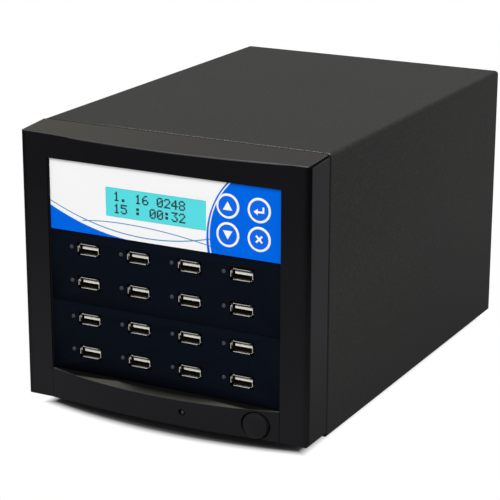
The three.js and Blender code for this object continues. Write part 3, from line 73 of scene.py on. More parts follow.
class Value:
    """A shader socket that sums, products and limits can be written with."""

    def __init__(self, nodes, socket):
        self.nodes = nodes
        self.socket = socket

    def maths(self, operation, *terms):
        return self.nodes.node("Math", {"operation": operation}, dict(enumerate(terms)))

    def __add__(self, other):
        return self.maths("ADD", self, other)

    __radd__ = __add__

    def __sub__(self, other):
        return self.maths("SUBTRACT", self, other)

    def __rsub__(self, other):
        return self.maths("SUBTRACT", other, self)

    def __mul__(self, other):
        return self.maths("MULTIPLY", self, other)

    __rmul__ = __mul__

    def __truediv__(self, other):
        return self.maths("DIVIDE", self, other)

    def __rtruediv__(self, other):
        return self.maths("DIVIDE", other, self)

    def __pow__(self, power):
        return self.maths("POWER", self, power)

    def __abs__(self):
        return self.maths("ABSOLUTE", self)

    def __and__(self, other):
        return self.maths("MINIMUM", self, other)

    def __or__(self, other):
        return self.maths("MAXIMUM", self, other)

    def __gt__(self, other):
        return self.maths("GREATER_THAN", self, other)

    def __lt__(self, other):
        return self.maths("LESS_THAN", self, other)


class Nodes:
    """A tree of shader nodes that is built node by node."""

    def __init__(self, owner):
        owner.use_nodes = True
        self.tree = owner.node_tree

    def feed(self, socket, value):
        if isinstance(value, Value):
            self.tree.links.new(value.socket, socket)
        else:
            socket.default_value = value

    def node(self, kind, settings=None, sockets=None, output=0):
        fresh = self.tree.nodes.new("ShaderNode" + kind)
        for name, value in (settings or {}).items():
            setattr(fresh, name, value)
        for name, value in (sockets or {}).items():
            self.feed(fresh.inputs[name], value)
        return Value(self, fresh.outputs[output])


class Finish(Nodes):
    """A material, with its object's place as x, y and z."""

    def __init__(self, name):
        self.material = bpy.data.materials.new(name)
        super().__init__(self.material)
        self.place = self.node("TexCoord", output="Object")
        self.x, self.y, self.z = (
            self.node("SeparateXYZ", sockets={0: self.place}, output=axis) for axis in range(3)
        )

    def noise(self, size, detail=2):
        """A cloudy value from 0 to 1 whose patches are about size across."""
        return self.node("TexNoise", sockets={"Vector": self.place, "Scale": 1 / size, "Detail": detail})

    def ramp(self, value, low, high):
        """0 up to low, 1 from high, and a straight climb between them."""
        return self.node("MapRange", sockets={0: value, 1: low, 2: high})

    def blend(self, share, first, second):
        return self.node("Mix", {"data_type": "RGBA"}, {0: share, 6: first, 7: second}, 2)

    def bump(self, height, depth, strength):
        return self.node("Bump", sockets={"Strength": strength, "Distance": depth, "Height": height})

    def surface(self, **sockets):
        """Sets the surface's own sockets: base_color stands for Base Color, and so on."""
        shader = self.tree.nodes["Principled BSDF"]
        for name, value in sockets.items():
            names = {"ior": "IOR", "specular": "Specular IOR Level"}
            self.feed(shader.inputs[names.get(name, name.replace("_", " ").title())], value)
        return self.material


def dress(node, material, round_edge=0.0, fold=30):
    """Gives a solid of the frame its finish, and an edge radius where the real one has rounded edges."""
    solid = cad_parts[node]
    solid.data.materials.clear()
    solid.data.materials.append(material)
    smooth(solid.data, fold)
    weld = solid.modifiers.new("weld", "WELD")
    weld.merge_threshold = 0.01 * mm
    if round_edge:
        edge = solid.modifiers.new("edge", "BEVEL")
        edge.width = round_edge
        edge.segments = 2
        edge.limit_method = "ANGLE"
        edge.angle_limit = math.radians(fold)
    solid.modifiers.new("flats", "WEIGHTED_NORMAL").keep_sharp = True


def smooth(mesh, fold):
    """Shades a mesh smooth, apart from edges that fold more than that many degrees."""
    mesh.polygons.foreach_set("use_smooth", [True] * len(mesh.polygons))
    mesh.set_sharp_from_angle(angle=math.radians(fold))


cover_low, cover_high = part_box("cover")
grain_size = 1.4 * mm
fine_size = 0.7 * mm
cloud_size = 90 * mm
shaded_height = 85 * mm
seam_shadow_width = 2 * mm
rubbed_glint_from, rubbed_glint_to = 2.1 * mm, 3.4 * mm
rubbed_glint_left, rubbed_glint_full = -85 * mm, -15 * mm
glint_size = 0.9 * mm
powder = Finish("black powder coat")
grain = powder.noise(grain_size, 3)
coat_black = powder.blend(powder.noise(cloud_size, 3), paint("2a2a2a"), paint("30302f"))
coat_black = powder.blend(powder.ramp(grain, 0.5, 0.7), coat_black, paint("3a3a38"))
coat_black = powder.blend(powder.ramp(1 - powder.noise(fine_size), 0.54, 0.72), coat_black, paint("252526"))
from_seam = powder.y - cover_low.y
on_top = powder.ramp(powder.z - cover_high.z, -1 * mm, -0.5 * mm)
# Painted shade: the coat darkens toward the bottom, where less light falls.
painted_low_shade = 1 - powder.ramp(powder.z, 5 * mm, shaded_height)
coat_black = powder.blend(0.45 * painted_low_shade, coat_black, paint("0a0a0b"))
# Painted shadow: the coat is darkened in a band behind the seam, as shade in the gap.
seam_shadow = 1 - powder.ramp(from_seam, seam_shadow_width, seam_shadow_width + 0.8 * mm - 0.4 * mm * on_top)
coat_black = powder.blend(seam_shadow, coat_black, paint("0e0e0e"))
# Pale spots on top behind the seam: partly coat rubbed through, partly painted highlights standing for
# glints off the bare edge.
rubbed_glint_band = powder.ramp(from_seam, rubbed_glint_from, rubbed_glint_from + 0.3 * mm) * on_top
rubbed_glint_band = rubbed_glint_band * (1 - powder.ramp(from_seam, rubbed_glint_to - 0.4 * mm, rubbed_glint_to))
rubbed_glint_band = rubbed_glint_band * powder.ramp(powder.x, rubbed_glint_left, rubbed_glint_full)
glints = rubbed_glint_band * powder.ramp(powder.noise(glint_size, 1), 0.5, 0.56)
powder_coat = powder.surface(
    base_color=powder.blend(glints, coat_black, paint("a09c93")),
    roughness=0.6 + 0.25 * grain,
    normal=powder.bump(grain, 0.12 * mm, 0.6),
    specular=0.05,
)
dress("cover", powder_coat)

# Moulded front: a black shell with a bowed top rail, clipped to the steel frame by four hooks.
# It is one injection moulding from an etched mould, so the plastic has a satin skin.
# Its colour holds painted shade toward the top and round its corners, and a painted highlight along the
# rail's top edge.


def seat(node):
    """The middle of a solid's front face, as x, y and z."""
    low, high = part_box(node)
    return (low.x + high.x) / 2, low.y, (low.z + high.z) / 2


bezel_low, bezel_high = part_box("front_bezel")
bar_low, bar_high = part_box("lower_bar")
button_x, button_front, button_z = seat("power_button")
button_hole = 8.2 * mm
light_x = 17 * mm
light_z = bar_low.z + 10.5 * mm
light_hole = 2 * mm
moulded_edge = 0.3 * mm
etch_size = 0.35 * mm
flow_size = 60 * mm
rail_drop = 1.8 * mm
rail_foot = 120 * mm
corner_start, corner_end = 4.6 * mm, 1.2 * mm
flank_start, flank_end = 7 * mm, 9.6 * mm
hole_rim_width = 0.35 * mm
edge_top, edge_foot = 0.35 * mm, 0.65 * mm
bar_bow = 12.7 * mm
ledge_top = 40 * mm
lit_lip_depth = 8.5 * mm
lit_lip_half, lit_lip_end_half = 30 * mm, 56 * mm
etched = Finish("satin black moulding")
skin = etched.noise(etch_size)
flow = etched.noise(flow_size)
facing = etched.node("NewGeometry", output=1)
sideways, upward = (etched.node("SeparateXYZ", sockets={0: facing}, output=axis) for axis in (0, 2))
sideways = abs(sideways)
from_middle = abs(etched.x)
high_up = etched.ramp(etched.z, 20 * mm, 140 * mm)
below_rail = 1 - etched.ramp(etched.z, rail_foot, rail_foot + 20 * mm)
below_ledge = 1 - etched.ramp(etched.z, ledge_top, ledge_top + 5 * mm)
turned_under = etched.ramp(0 - upward, 0.33, 0.43) * below_rail
flank = etched.ramp(sideways, 0.93, 0.98)
round_corner = etched.ramp(sideways, 0.35, 0.55) * (1 - flank)
face_up = etched.ramp(upward, 0.9, 0.97)

# Its upright faces, with painted light and shade: lighter low down and on the left, darker toward the top,
# round the corners, round the holes and on faces turned under below the rail.
# Painted light: lighter low down and toward the left, where bounce light falls; painted shade toward the
# top.
low_left = etched.blend(flow, paint("232325"), paint("29292b"))
low_right = etched.blend(flow, paint("1d1d1f"), paint("232325"))
low_black = etched.blend(etched.ramp(etched.x, -50 * mm, 80 * mm), low_left, low_right)
face_black = etched.blend(high_up, low_black, etched.blend(flow, paint("141416"), paint("18181a")))
# Painted light: the side faces are a lighter copy of the black, lightest at mid height, as the side catches
# more light.
flank_black = etched.blend(etched.ramp(etched.z, 15 * mm, 75 * mm), paint("2a2a2b"), paint("353537"))
face_black = etched.blend(flank, face_black, flank_black)
# Painted shade: faces turned downward below the rail are darkened.
face_black = etched.blend(turned_under, face_black, paint("0c0c0d"))
# Painted shade: a dark band round the rounded front corners, where little light reaches.
to_side = etched.ramp(from_middle - bezel_high.x, 0 - corner_start, 0 - corner_end) * (1 - flank)
to_front = flank * (1 - etched.ramp(etched.y - bezel_low.y, flank_start, flank_end))
corner_black = etched.blend(high_up, paint("1c1c1d"), paint("090909"))
face_black = etched.blend(round_corner | to_side | to_front, face_black, corner_black)
# Painted shade: a dark ring round the button's and the light's holes, as shade in the gap.
for hole_x, hole_z, reach in ((button_x, button_z, button_hole), (light_x, light_z, light_hole)):
    hole_u = etched.x - hole_x
    hole_v = etched.z - hole_z
    from_hole = (hole_u * hole_u + hole_v * hole_v) ** 0.5 - reach
    hole_rim = 1 - etched.ramp(from_hole, 0.05 * mm, hole_rim_width)
    face_black = etched.blend(hole_rim, face_black, paint("050506"))
# Painted highlight: a pale line along the rail's top front edge, where the rounded edge catches light.
from_edge = etched.z - (bezel_high.z - rail_drop)
painted_edge_highlight = etched.ramp(from_edge, 0 - edge_foot, 0 - edge_top)
painted_edge_highlight = painted_edge_highlight * (1 - face_up) * (1 - flank) * (1 - round_corner)
face_black = etched.blend(painted_edge_highlight, face_black, paint("4e4e50"))

# Its upward faces, with painted light and shade: the rail's top painted pale as if lit, lighter on the
# left, and the ledge painted dark as shade, with a painted lit crescent along its lip.
ledge_x = etched.x / bar_high.x
from_lip = etched.y - bar_low.y - bar_bow * ledge_x * ledge_x
off_centre = etched.ramp(abs(etched.x - 8 * mm), 20 * mm, 36 * mm)
lit_lip_end = lit_lip_depth * (1 - etched.ramp(from_middle, lit_lip_half, lit_lip_end_half))
lit_lip_start = 0.5 * mm + (lit_lip_end - 2 * mm) * off_centre
on_ledge = face_up * below_ledge
# Painted light: a crescent along the ledge's front lip, where light from above the front falls.
painted_lit_lip = on_ledge * (1 - etched.ramp(from_lip, lit_lip_start, lit_lip_end)) * (0.55 + 0.45 * off_centre)
# Painted light: the rail's upward top is a lit pale copy of the black, lighter on the left.
rail_top = etched.blend(etched.ramp(etched.x, -90 * mm, 20 * mm), paint("42413c"), paint("3a3937"))
# Painted shade: the ledge behind its lip is darkened, as shaded by the plate above.
top_black = etched.blend(on_ledge, rail_top, paint("141414"))
top_black = etched.blend(painted_lit_lip, top_black, paint("5f5e58"))
bar_end = etched.ramp(from_middle, 40 * mm, 54 * mm) * below_ledge
rubbed = etched.ramp(upward, 0.15, 0.35) * (1 - face_up) * (1 - bar_end)
satin_black = etched.surface(
    base_color=etched.blend(face_up, face_black, top_black),
    roughness=0.42 + 0.12 * skin,
    normal=etched.bump(skin, 0.03 * mm, 0.5),
    specular=0.05, ior=1.15,
    coat_weight=0.75 * rubbed * (1 - round_corner), coat_roughness=0.2,
)
dress("front_bezel", satin_black, moulded_edge)

# Lower bar: a separate moulding of the same plastic that bows forward, with a crescent ledge on top.
# It stands between the stiles and carries the power button in a round collar, and a pin hole for the light.
dress("lower_bar", satin_black, moulded_edge)

# Power button: a round moulded cap with a slightly crowned face, on a stem that slides behind the bar.
# It is the same etched black plastic as the bar, a little darker.


def meshed(name, shape, materials, fold=30):
    """Turns a bmesh into a mesh whose faces look outward, with its materials, and shades it smooth."""
    mesh = bpy.data.meshes.new(name)
    bmesh.ops.recalc_face_normals(shape, faces=shape.faces)
    shape.to_mesh(mesh)
    shape.free()
    for material in materials:
        mesh.materials.append(material)
    smooth(mesh, fold)
    return mesh


def placed(name, mesh, at, body="case", stands_for=()):
    """Puts a mesh in its place as a piece that rides on a body of the frame."""
    piece = bpy.data.objects.new(name, mesh)
    bpy.context.scene.collection.objects.link(piece)
    piece.location = at
    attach(piece, body)
    if stands_for:
        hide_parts(*stands_for)


def made(name, shape, materials, at, body="case", stands_for=(), fold=30):
    """Turns a bmesh into a piece of its own and puts it in its place."""
    placed(name, meshed(name, shape, materials, fold), at, body, stands_for)


def eased(corners, steps=4):
    """An outline whose corners, given as (u, v, radius), are rounded."""
    points = []
    for k, (u, v, radius) in enumerate(corners):
        here = Vector((u, v))
        before = Vector(corners[k - 1][:2])
        after = Vector(corners[(k + 1) % len(corners)][:2])
        if not radius:
            points.append(here)
            continue
        start = here + (before - here).normalized() * radius
        end = here + (after - here).normalized() * radius
        for step in range(steps + 1):
            t = step / steps
            points.append((1 - t) ** 2 * start + 2 * t * (1 - t) * here + t ** 2 * end)
    return points


def turned(shape, profile, steps=48, finish=0, x=0.0, z=0.0):
    """Adds a body turned round an axis along y, from points of (radius, y) that start and end on it."""
    rings = []
    for radius, along in profile:
        turns = [2 * math.pi * k / steps for k in range(1 if radius < 1e-9 else steps)]
        rings.append([
            shape.verts.new((x + radius * math.cos(turn), along, z + radius * math.sin(turn)))
            for turn in turns
        ])
    for first, second in zip(rings, rings[1:]):
        for k in range(steps):
            corners = [
                first[k % len(first)], first[(k + 1) % len(first)],
                second[(k + 1) % len(second)], second[k % len(second)],
            ]
            corners = list(dict.fromkeys(corners))
            if len(corners) > 2:
                shape.faces.new(corners).material_index = finish
    return shape


cap_radius = 7.6 * mm
crown_start, crown = 0.12 * mm, 0.9 * mm
cap_back, cap_back_edge = 14 * mm, 0.3 * mm
stem_radius, stem_edge = 2 * mm, 0.2 * mm
stem_front = 13 * mm
stem_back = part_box("power_button")[1].y - button_front
cap_finish = Finish("satin black cap")
cap_skin = cap_finish.noise(etch_size)
cap_black = cap_finish.surface(
    base_color=cap_finish.blend(cap_finish.noise(9 * mm), paint("19191b"), paint("1f1f21")),
    roughness=0.42 + 0.12 * cap_skin,
    normal=cap_finish.bump(cap_skin, 0.03 * mm, 0.5),
    specular=0.1, ior=1.3,
)
button = turned(bmesh.new(), eased([
    (0, 0, 0), (cap_radius * 0.5, crown_start, 0), (cap_radius, crown, crown),
    (cap_radius, cap_back, cap_back_edge), (0, cap_back, 0),
]), 72)
turned(button, eased([
    (0, stem_front, 0), (stem_radius, stem_front, 0), (stem_radius, stem_back, stem_edge),
    (0, stem_back, 0),
]), 24)
made(
    "power_button_cap", button, [cap_black], (button_x, button_front, button_z), "power_button",
    stands_for=["power_button"],
)

# Power light: a small round lamp of smoked plastic, seen at the bottom of its pin hole.
# It stands on long leads on the power switch board, a green lacquered board behind the bar.
board_sheet = 1.6 * mm
run_pitch = 4.5 * mm


def circuit_board(name, axis, face, pitch):
    """Green lacquer and copper runs on a board whose sheet starts at face, with parts on both sides."""
    board = Finish(name)
    off_sheet = abs(getattr(board, axis) - face - board_sheet / 2) - board_sheet / 2
    proud = board.ramp(off_sheet, 0.05 * mm, 0.15 * mm)
    board_place = board.node("VectorRotate", {"rotation_type": "EULER_XYZ"}, {
        "Vector": board.place, "Rotation": (math.radians(90 if axis == "y" else 0), 0, 0),
    })
    runs = board.node("TexBrick", {"offset": 0.37}, {
        "Vector": board_place, "Scale": 1 / run_pitch, "Mortar Size": 0.06,
        "Color1": paint("1d5a34"), "Color2": paint("1b5230"), "Mortar": paint("2f7a4a"),
    })
    lot = board.node("TexVoronoi", {"feature": "F1"}, {"Vector": board.place, "Scale": 1 / pitch}, "Color")
    kind = board.node("SeparateColor", sockets={0: lot})
    tinned = board.ramp(kind, 0.6, 0.62) * proud
    bodies = board.blend(tinned, paint("1a1a1c"), paint("b4b6b6"))
    return board.surface(
        base_color=board.blend(proud, runs, bodies), metallic=tinned,
        roughness=0.35 + 0.2 * board.noise(3 * mm), coat_weight=0.3 * (1 - proud),
    )


switch_low, switch_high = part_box("power_switch_board")
dress("power_switch_board", circuit_board("power switch board", "y", switch_high.y - board_sheet, 6 * mm))
lamp_radius = 1.52 * mm
lamp_tip_radius, lamp_tip = 0.9 * mm, 0.1 * mm
lamp_dome, lamp_ease = 1.3 * mm, 0.6 * mm
lamp_length = 5.1 * mm
lamp_gap = 0.03 * mm
lens = Finish("smoked lens")
smoked_lens = lens.surface(
    base_color=lens.blend(lens.noise(0.7 * mm), paint("2b2d33"), paint("383b44")),
    roughness=0.3 + 0.1 * lens.noise(0.3 * mm), specular=0.3,
)
lamp = turned(bmesh.new(), eased([
    (0, 0, 0), (lamp_tip_radius, lamp_tip, 0), (lamp_radius, lamp_dome, lamp_ease),
    (lamp_radius, lamp_length, 0), (0, lamp_length, 0),
]), 32)
made("power_lamp", lamp, [smoked_lens], (light_x, switch_low.y - lamp_gap, light_z))

# Usb plates: two dark mouldings, each with eight openings for sockets and eight for lights.
# They stand in the two lower bays with their boards behind them, and a fine seam shows between them.
# The control plate above them is of the same plastic.
mouth_half_width = 6.95 * mm
mouth_half_height = 3.25 * mm
panel = Finish("blue black moulding")
panel_skin = panel.noise(0.4 * mm)
nearest_x = nearest_z = 1
for k in range(1, 5):
    socket_x, _, socket_z = seat(f"usb_socket_{k}_{k}")
    nearest_x = abs(panel.x - socket_x) & nearest_x
    nearest_z = abs(panel.z - socket_z) & nearest_z
# Painted shade: a dark ring round each socket mouth, where the opening's rim lies in shadow.
from_mouth = (nearest_x - mouth_half_width) | (nearest_z - mouth_half_height)
plate_blue = panel.blend(panel.noise(70 * mm), paint("0b0f16"), paint("0e121b"))
plate_black = panel.surface(
    base_color=panel.blend(1 - panel.ramp(from_mouth, 0.3 * mm, 0.9 * mm), plate_blue, paint("020203")),
    roughness=0.45 + 0.1 * panel_skin,
    normal=panel.bump(panel_skin, 0.02 * mm, 0.4),
    specular=0.03, ior=1.15,
)
usb_board_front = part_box("usb_socket_1_1")[1].y + 0.3 * mm
usb_board_finish = circuit_board("usb board", "y", usb_board_front, 5 * mm)
for level in ("lower", "upper"):
    dress("usb_plate_" + level, plate_black)
    dress("usb_board_" + level, usb_board_finish)
dress("control_plate", plate_black)

# Usb sockets: a nickelled steel shell folded round a white tongue with four gilt contacts.
# The shell's mouth flares out in four separate lips, and four springs grip the plug.
# Each socket is soldered to its board and reaches through the plate.
shell_width = 13.35 * mm
shell_height = 5.95 * mm
shell_corner = 0.8 * mm
shell_depth = 14 * mm
sheet = 0.22 * mm
mouth_depth = 9.2 * mm
lip_depth = 1.3 * mm
lip_bend = 1.5 * mm
lip_turn = math.radians(60)
lip_steps = 6
lip_taper = 0.1 * mm
lip_overlap = 0.1 * mm
wall_return = 0.4 * mm
shade_lining_gap = 0.02 * mm
long_half, long_spread = 5.25 * mm, 0.18 * mm
short_half, short_spread = 1.75 * mm, 0.22 * mm
spring_places = (-3.1 * mm, 3.1 * mm)
spring_half = 0.8 * mm
spring_sheet = 0.15 * mm
spring_reaches = {-1: 0.5 * mm, 1: 0.3 * mm}
spring_bow = [(4, 0), (5, 0.15), (6, 0.7), (6.8, 1), (7.4, 0.8), (8, 0.4)]
tongue_reach = 5.55 * mm
tongue_rise = 0.15 * mm
tongue_front, tongue_back = 2.7 * mm, mouth_depth + 0.2 * mm
tongue_half, tongue_edge = 0.75 * mm, 0.25 * mm
contact_places = (-3.5 * mm, -1 * mm, 1 * mm, 3.5 * mm)
contact_half, contact_edge = 0.5 * mm, 0.05 * mm
contact_out, contact_in = 0.1 * mm, 0.12 * mm
contact_front = tongue_front + 0.5 * mm
nickel = Finish("nickelled steel")
rolled = nickel.noise(0.25 * mm)
nickelled = nickel.surface(
    base_color=nickel.blend(nickel.noise(2 * mm), paint("d6d1c8"), paint("e6e2da")),
    metallic=1.0, roughness=0.2 + 0.12 * rolled, normal=nickel.bump(rolled, 0.005 * mm, 0.4),
)
# Painted shade: dark steel for the inside of each mouth and its springs, standing in for the shade deep in
# the socket.
inside = Finish("unlit steel")
inside_shade_steel = inside.surface(
    base_color=inside.blend(inside.noise(0.9 * mm), paint("100e0c"), paint("211c18")),
    metallic=0.4, roughness=0.5 + 0.2 * inside.noise(0.3 * mm), specular=0.2,
)
tongue = Finish("white tongue")
tongue_white = tongue.surface(
    base_color=tongue.blend(tongue.noise(1.5 * mm), paint("e8e8de"), paint("f4f4ec")),
    roughness=0.4 + 0.1 * tongue.noise(0.3 * mm),
)
gilt = Finish("gilt contact")
contact_gilt = gilt.surface(
    base_color=gilt.blend(gilt.noise(0.5 * mm), paint("7a5c26"), paint("94733a")),
    metallic=1.0, roughness=0.35 + 0.1 * gilt.noise(0.2 * mm),
)
socket_finishes = [nickelled, tongue_white, contact_gilt, inside_shade_steel]
tongue_finish, contact_finish, inside_shade_finish = 1, 2, 3


def banded(shape, rings, finish=0, closed=False, ends=(True, True)):
    """Adds a skin through rings of like points, with its two ends filled unless they meet."""
    loops = [[shape.verts.new(point) for point in ring] for ring in rings]
    pairs = list(zip(loops, loops[1:])) + ([(loops[-1], loops[0])] if closed else [])
    for first, second in pairs:
        for k in range(len(first)):
            after = (k + 1) % len(first)
            shape.faces.new((first[k], first[after], second[after], second[k])).material_index = finish
    for loop, filled in zip((loops[0], loops[-1]), ends):
        if filled and not closed:
            shape.faces.new(loop).material_index = finish
    return shape


def boxed(shape, low, high, finish=0, ease=0.0):
    """Adds a block between two corners, with its edges eased."""
    outline = eased([
        (low[0], low[2], ease), (high[0], low[2], ease), (high[0], high[2], ease), (low[0], high[2], ease),
    ], 2)
    middle = Vector(((low[0] + high[0]) / 2, (low[2] + high[2]) / 2))
    span = Vector((high[0] - low[0], high[2] - low[2]))

    def ring(along, shrink):
        scale = Vector((1 - 2 * shrink / span.x, 1 - 2 * shrink / span.y))
        return [
            (middle.x + (p.x - middle.x) * scale.x, along, middle.y + (p.y - middle.y) * scale.y)
            for p in outline
        ]

    if not ease:
        return banded(shape, [ring(low[1], 0), ring(high[1], 0)], finish)
    return banded(shape, [
        ring(low[1], ease), ring(low[1] + ease, 0), ring(high[1] - ease, 0), ring(high[1], ease),
    ], finish)


def socket_ring(width, height, corner, along):
    """The shell's outline at a depth, with rounded corners."""
    u, v = width / 2, height / 2
    outline = eased([(-u, -v, corner), (u, -v, corner), (u, v, corner), (-u, v, corner)])
    return [(p.x, along, p.y) for p in outline]


def lip(shape, facing_out, half_root, inner, spread):
    """Adds one flared lip that is half_root to each side at its root and bends out from inner by spread."""
    rings = []
    for step in range(lip_steps + 1):
        turn = lip_turn * step / lip_steps
        out = inner + spread * (1 - math.cos(turn)) * 2
        along = lip_depth - lip_bend * math.sin(turn)
        half = half_root - lip_taper * step / lip_steps
        section = [(-half, out), (half, out), (half, out + sheet), (-half, out + sheet)]
        rings.append([facing_out(a, along, b) for a, b in section])
    banded(shape, rings)


socket = bmesh.new()
shell_front = lip_depth - lip_overlap
wall_front = shell_front + wall_return
outer_ring = (shell_width, shell_height, shell_corner)
inner_ring = (shell_width - 2 * sheet, shell_height - 2 * sheet, shell_corner - sheet)
banded(socket, [
    socket_ring(*outer_ring, shell_depth), socket_ring(*outer_ring, shell_front),
    socket_ring(*inner_ring, shell_front), socket_ring(*inner_ring, wall_front),
], ends=(True, False))
# A dark lining sheet inside the mouth, put there as painted shade.
shade_lining_inset = 1.02 * sheet
shade_lining = (shell_width - 2 * shade_lining_inset, shell_height - 2 * shade_lining_inset, shell_corner - sheet)
banded(socket, [
    socket_ring(*shade_lining, wall_front + shade_lining_gap), socket_ring(*shade_lining, mouth_depth),
], inside_shade_finish, ends=(False, True))
long_inner = shell_height / 2 - sheet
short_inner = shell_width / 2 - sheet
spring_section = (
    (-spring_half, 0), (spring_half, 0), (spring_half, spring_sheet), (-spring_half, spring_sheet),
)
for side, spring_reach in spring_reaches.items():
    lip(socket, lambda a, y, b, s=side: (a * s, y, b * s), long_half, long_inner, long_spread)
    lip(socket, lambda a, y, b, s=side: (b * s, y, -a * s), short_half, short_inner, short_spread)
    for place in spring_places:
        banded(socket, [
            [(place + across, y * mm, side * (long_inner - spring_reach * rise + out))
             for across, out in spring_section]
            for y, rise in spring_bow
        ], inside_shade_finish)
tongue_under = tongue_rise - tongue_half
boxed(
    socket, (-tongue_reach, tongue_front, tongue_under),
    (tongue_reach, tongue_back, tongue_rise + tongue_half), tongue_finish, tongue_edge,
)
for place in contact_places:
    boxed(
        socket, (place - contact_half, contact_front, tongue_under - contact_out),
        (place + contact_half, mouth_depth, tongue_under + contact_in), contact_finish, contact_edge,
    )
socket_mesh = meshed("usb_socket_shell", socket, socket_finishes, 35)

# Each shell stands in its socket's place, and the copy light to its left shares its height.
lens_left, lens_up = 11.5 * mm, 0.5 * mm
lights = {"upper": [], "lower": []}
for row in range(1, 5):
    for column in range(1, 5):
        at = seat(f"usb_socket_{row}_{column}")
        placed(
            f"usb_shell_{row}_{column}", socket_mesh, at,
            stands_for=[f"usb_socket_{row}_{column}"],
        )
        lights["upper" if row < 3 else "lower"].append((at[0] - lens_left, at[2] + lens_up))

# Copy lights: eight small lenses of smoked plastic in each plate, one to the left of each socket.
# They are the domed ends of lamps that stand on the usb board.
lens_radius = 1.53 * mm
lens_tip_radius, lens_tip = 0.9 * mm, 0.3 * mm
lens_rise, lens_ease = 0.35 * mm, 0.5 * mm
lens_length = 3 * mm
plate_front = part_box("usb_plate_upper")[0].y
for level, places in lights.items():
    lenses = bmesh.new()
    for x, z in places:
        turned(lenses, eased([
            (0, -lens_rise, 0), (lens_tip_radius, -lens_tip, 0), (lens_radius, lens_rise, lens_ease),
            (lens_radius, lens_length, 0), (0, lens_length, 0),
        ]), 24, x=x, z=z)
    made("usb_lights_" + level, lenses, [smoked_lens], (0, plate_front, 0))

# Printed film: a thin white film glued over the control plate, with holes for the window and the keys.
# A blue field lies round the keys and a blue sweep below, and two hairlines cross it.
# Its left side is plain white above the sweep. u and v run in millimetres from its upper left corner.
film_low, film_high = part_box("control_film")
film = Finish("printed film")
print_margin = 0.2
u = (film.x - film_low.x) / mm + print_margin
v = (film_high.z - film.z) / mm
ink_edge = 0.12
key_field_centre, key_field_radius = (150.9, 33), 48.9
arc_centre, arc_radius, arc_half_width = (148.4, 31.5), 44.7, 0.35
sweep_curve, sweep_end = (27.1, 0.475, -0.0039), 61
first_curve, first_half_width = (24.4, 0.4452, -0.003452), 0.3
second_start, second_low, second_turn, second_half_width = 21.5, 32.2, 47, 0.26
second_bend, bend_lost = 0.0026, 0.001


def beyond(value, edge):
    """1 where a value in millimetres passes an edge, with the soft step of printer's ink."""
    return film.ramp(value - edge, -ink_edge, ink_edge)


def from_centre(centre_u, centre_v):
    return ((u - centre_u) ** 2 + (v - centre_v) ** 2) ** 0.5


def curve(start, slope, bend, along):
    """A printed curve's v at a place along it, from its v, slope and bend where it starts."""
    return start + slope * along + bend * along * along


key_field = 1 - beyond(from_centre(*key_field_centre), key_field_radius)
white_arc = 1 - beyond(abs(from_centre(*arc_centre) - arc_radius), arc_half_width)
sweep = beyond(v, curve(*sweep_curve, u & sweep_end))
first_line = 1 - beyond(abs(v - curve(*first_curve, u)), first_half_width)
bend_here = second_bend - bend_lost * beyond(u, second_turn)
off_second = abs(v - (second_low + bend_here * (u - second_turn) * (u - second_turn)))
second_line = (1 - beyond(off_second, second_half_width)) * beyond(u, second_start)
ink = (key_field - white_arc * key_field) | sweep
print_skin = film.noise(0.3 * mm)
lined_white = film.blend(first_line | second_line, paint("fcfcfc"), paint("0882c0"))
printed_film = film.surface(
    base_color=film.blend(ink, lined_white, paint("0068e8")),
    roughness=0.3 + 0.1 * print_skin, normal=film.bump(print_skin, 0.01 * mm, 0.3), specular=0.05, ior=1.2,
)
dress("control_film", printed_film)

# Display: a tinted pane in the film's opening, over a backlit module in a zinc plated frame.
# Its two lines show plain figures, each a block of five by seven square dots of dark crystal.
window_low, window_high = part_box("display_window")
dot = 0.78 * mm
dot_width, dot_height = 1.3 * dot, 1.1 * dot
dot_rise, dot_depth = 0.03 * mm, 0.1 * mm
letter_dots = 6
text_left = 5 * mm
line_top, line_pitch = 2.1 * mm, 7.1 * mm
pane = Finish("backlit pane")
backlit_pane = pane.surface(
    base_color=pane.blend(pane.noise(25 * mm, 1), paint("4fdbe3"), paint("5ce5ea")),
    roughness=0.3 + 0.05 * pane.noise(2 * mm), specular=0.2,
)
dress("display_window", backlit_pane)
spangles_per_metre = 90
tin = Finish("zinc plated steel")
spangle = tin.node(
    "TexVoronoi", {"feature": "F1"}, {"Vector": tin.place, "Scale": spangles_per_metre}, "Color",
)
zinc = tin.surface(
    base_color=tin.blend(tin.node("SeparateColor", sockets={0: spangle}), paint("a4a8ab"), paint("b2b6b9")),
    metallic=0.85, roughness=0.35 + 0.15 * tin.noise(4 * mm),
)
dress("display_module", zinc)
figure_dots = {
    "0": "01110 10001 10011 10101 11001 10001 01110",
    "1": "00100 01100 00100 00100 00100 00100 01110",
    "2": "01110 10001 00001 00010 00100 01000 11111",
    "3": "11111 00010 00100 00010 00001 10001 01110",
    "4": "00010 00110 01010 10010 11111 00010 00010",
    "5": "11111 10000 11110 00001 00001 10001 01110",
    "6": "00110 01000 10000 11110 10001 10001 01110",
    "8": "01110 10001 10001 01110 10001 10001 01110",
    ":": "00000 01100 01100 00000 01100 01100 00000",
    ".": "00000 00000 00000 00000 00000 01100 01100",
}
dark = Finish("dark crystal")
dark_crystal = dark.surface(
    base_color=dark.blend(dark.noise(1.2 * mm), paint("0c2a2e"), paint("14363a")), roughness=0.45,
)
figures = bmesh.new()
for line, text in enumerate(("1. 16 0248", "15 : 00:32")):
    top = window_high.z - line_top - line_pitch * line
    for place, letter in enumerate(text):
        for down, dots in enumerate(figure_dots.get(letter, "").split()):
            for across, lit in enumerate(dots):
                if lit == "1":
                    left = window_low.x + text_left + (letter_dots * place + across) * dot
                    foot = top - (down + 1) * dot
                    far_corner = (left + dot_width, dot_depth, foot + dot_height)
                    boxed(figures, (left, -dot_rise, foot), far_corner)
made("display_figures", figures, [dark_crystal], (0, window_low.y, 0))

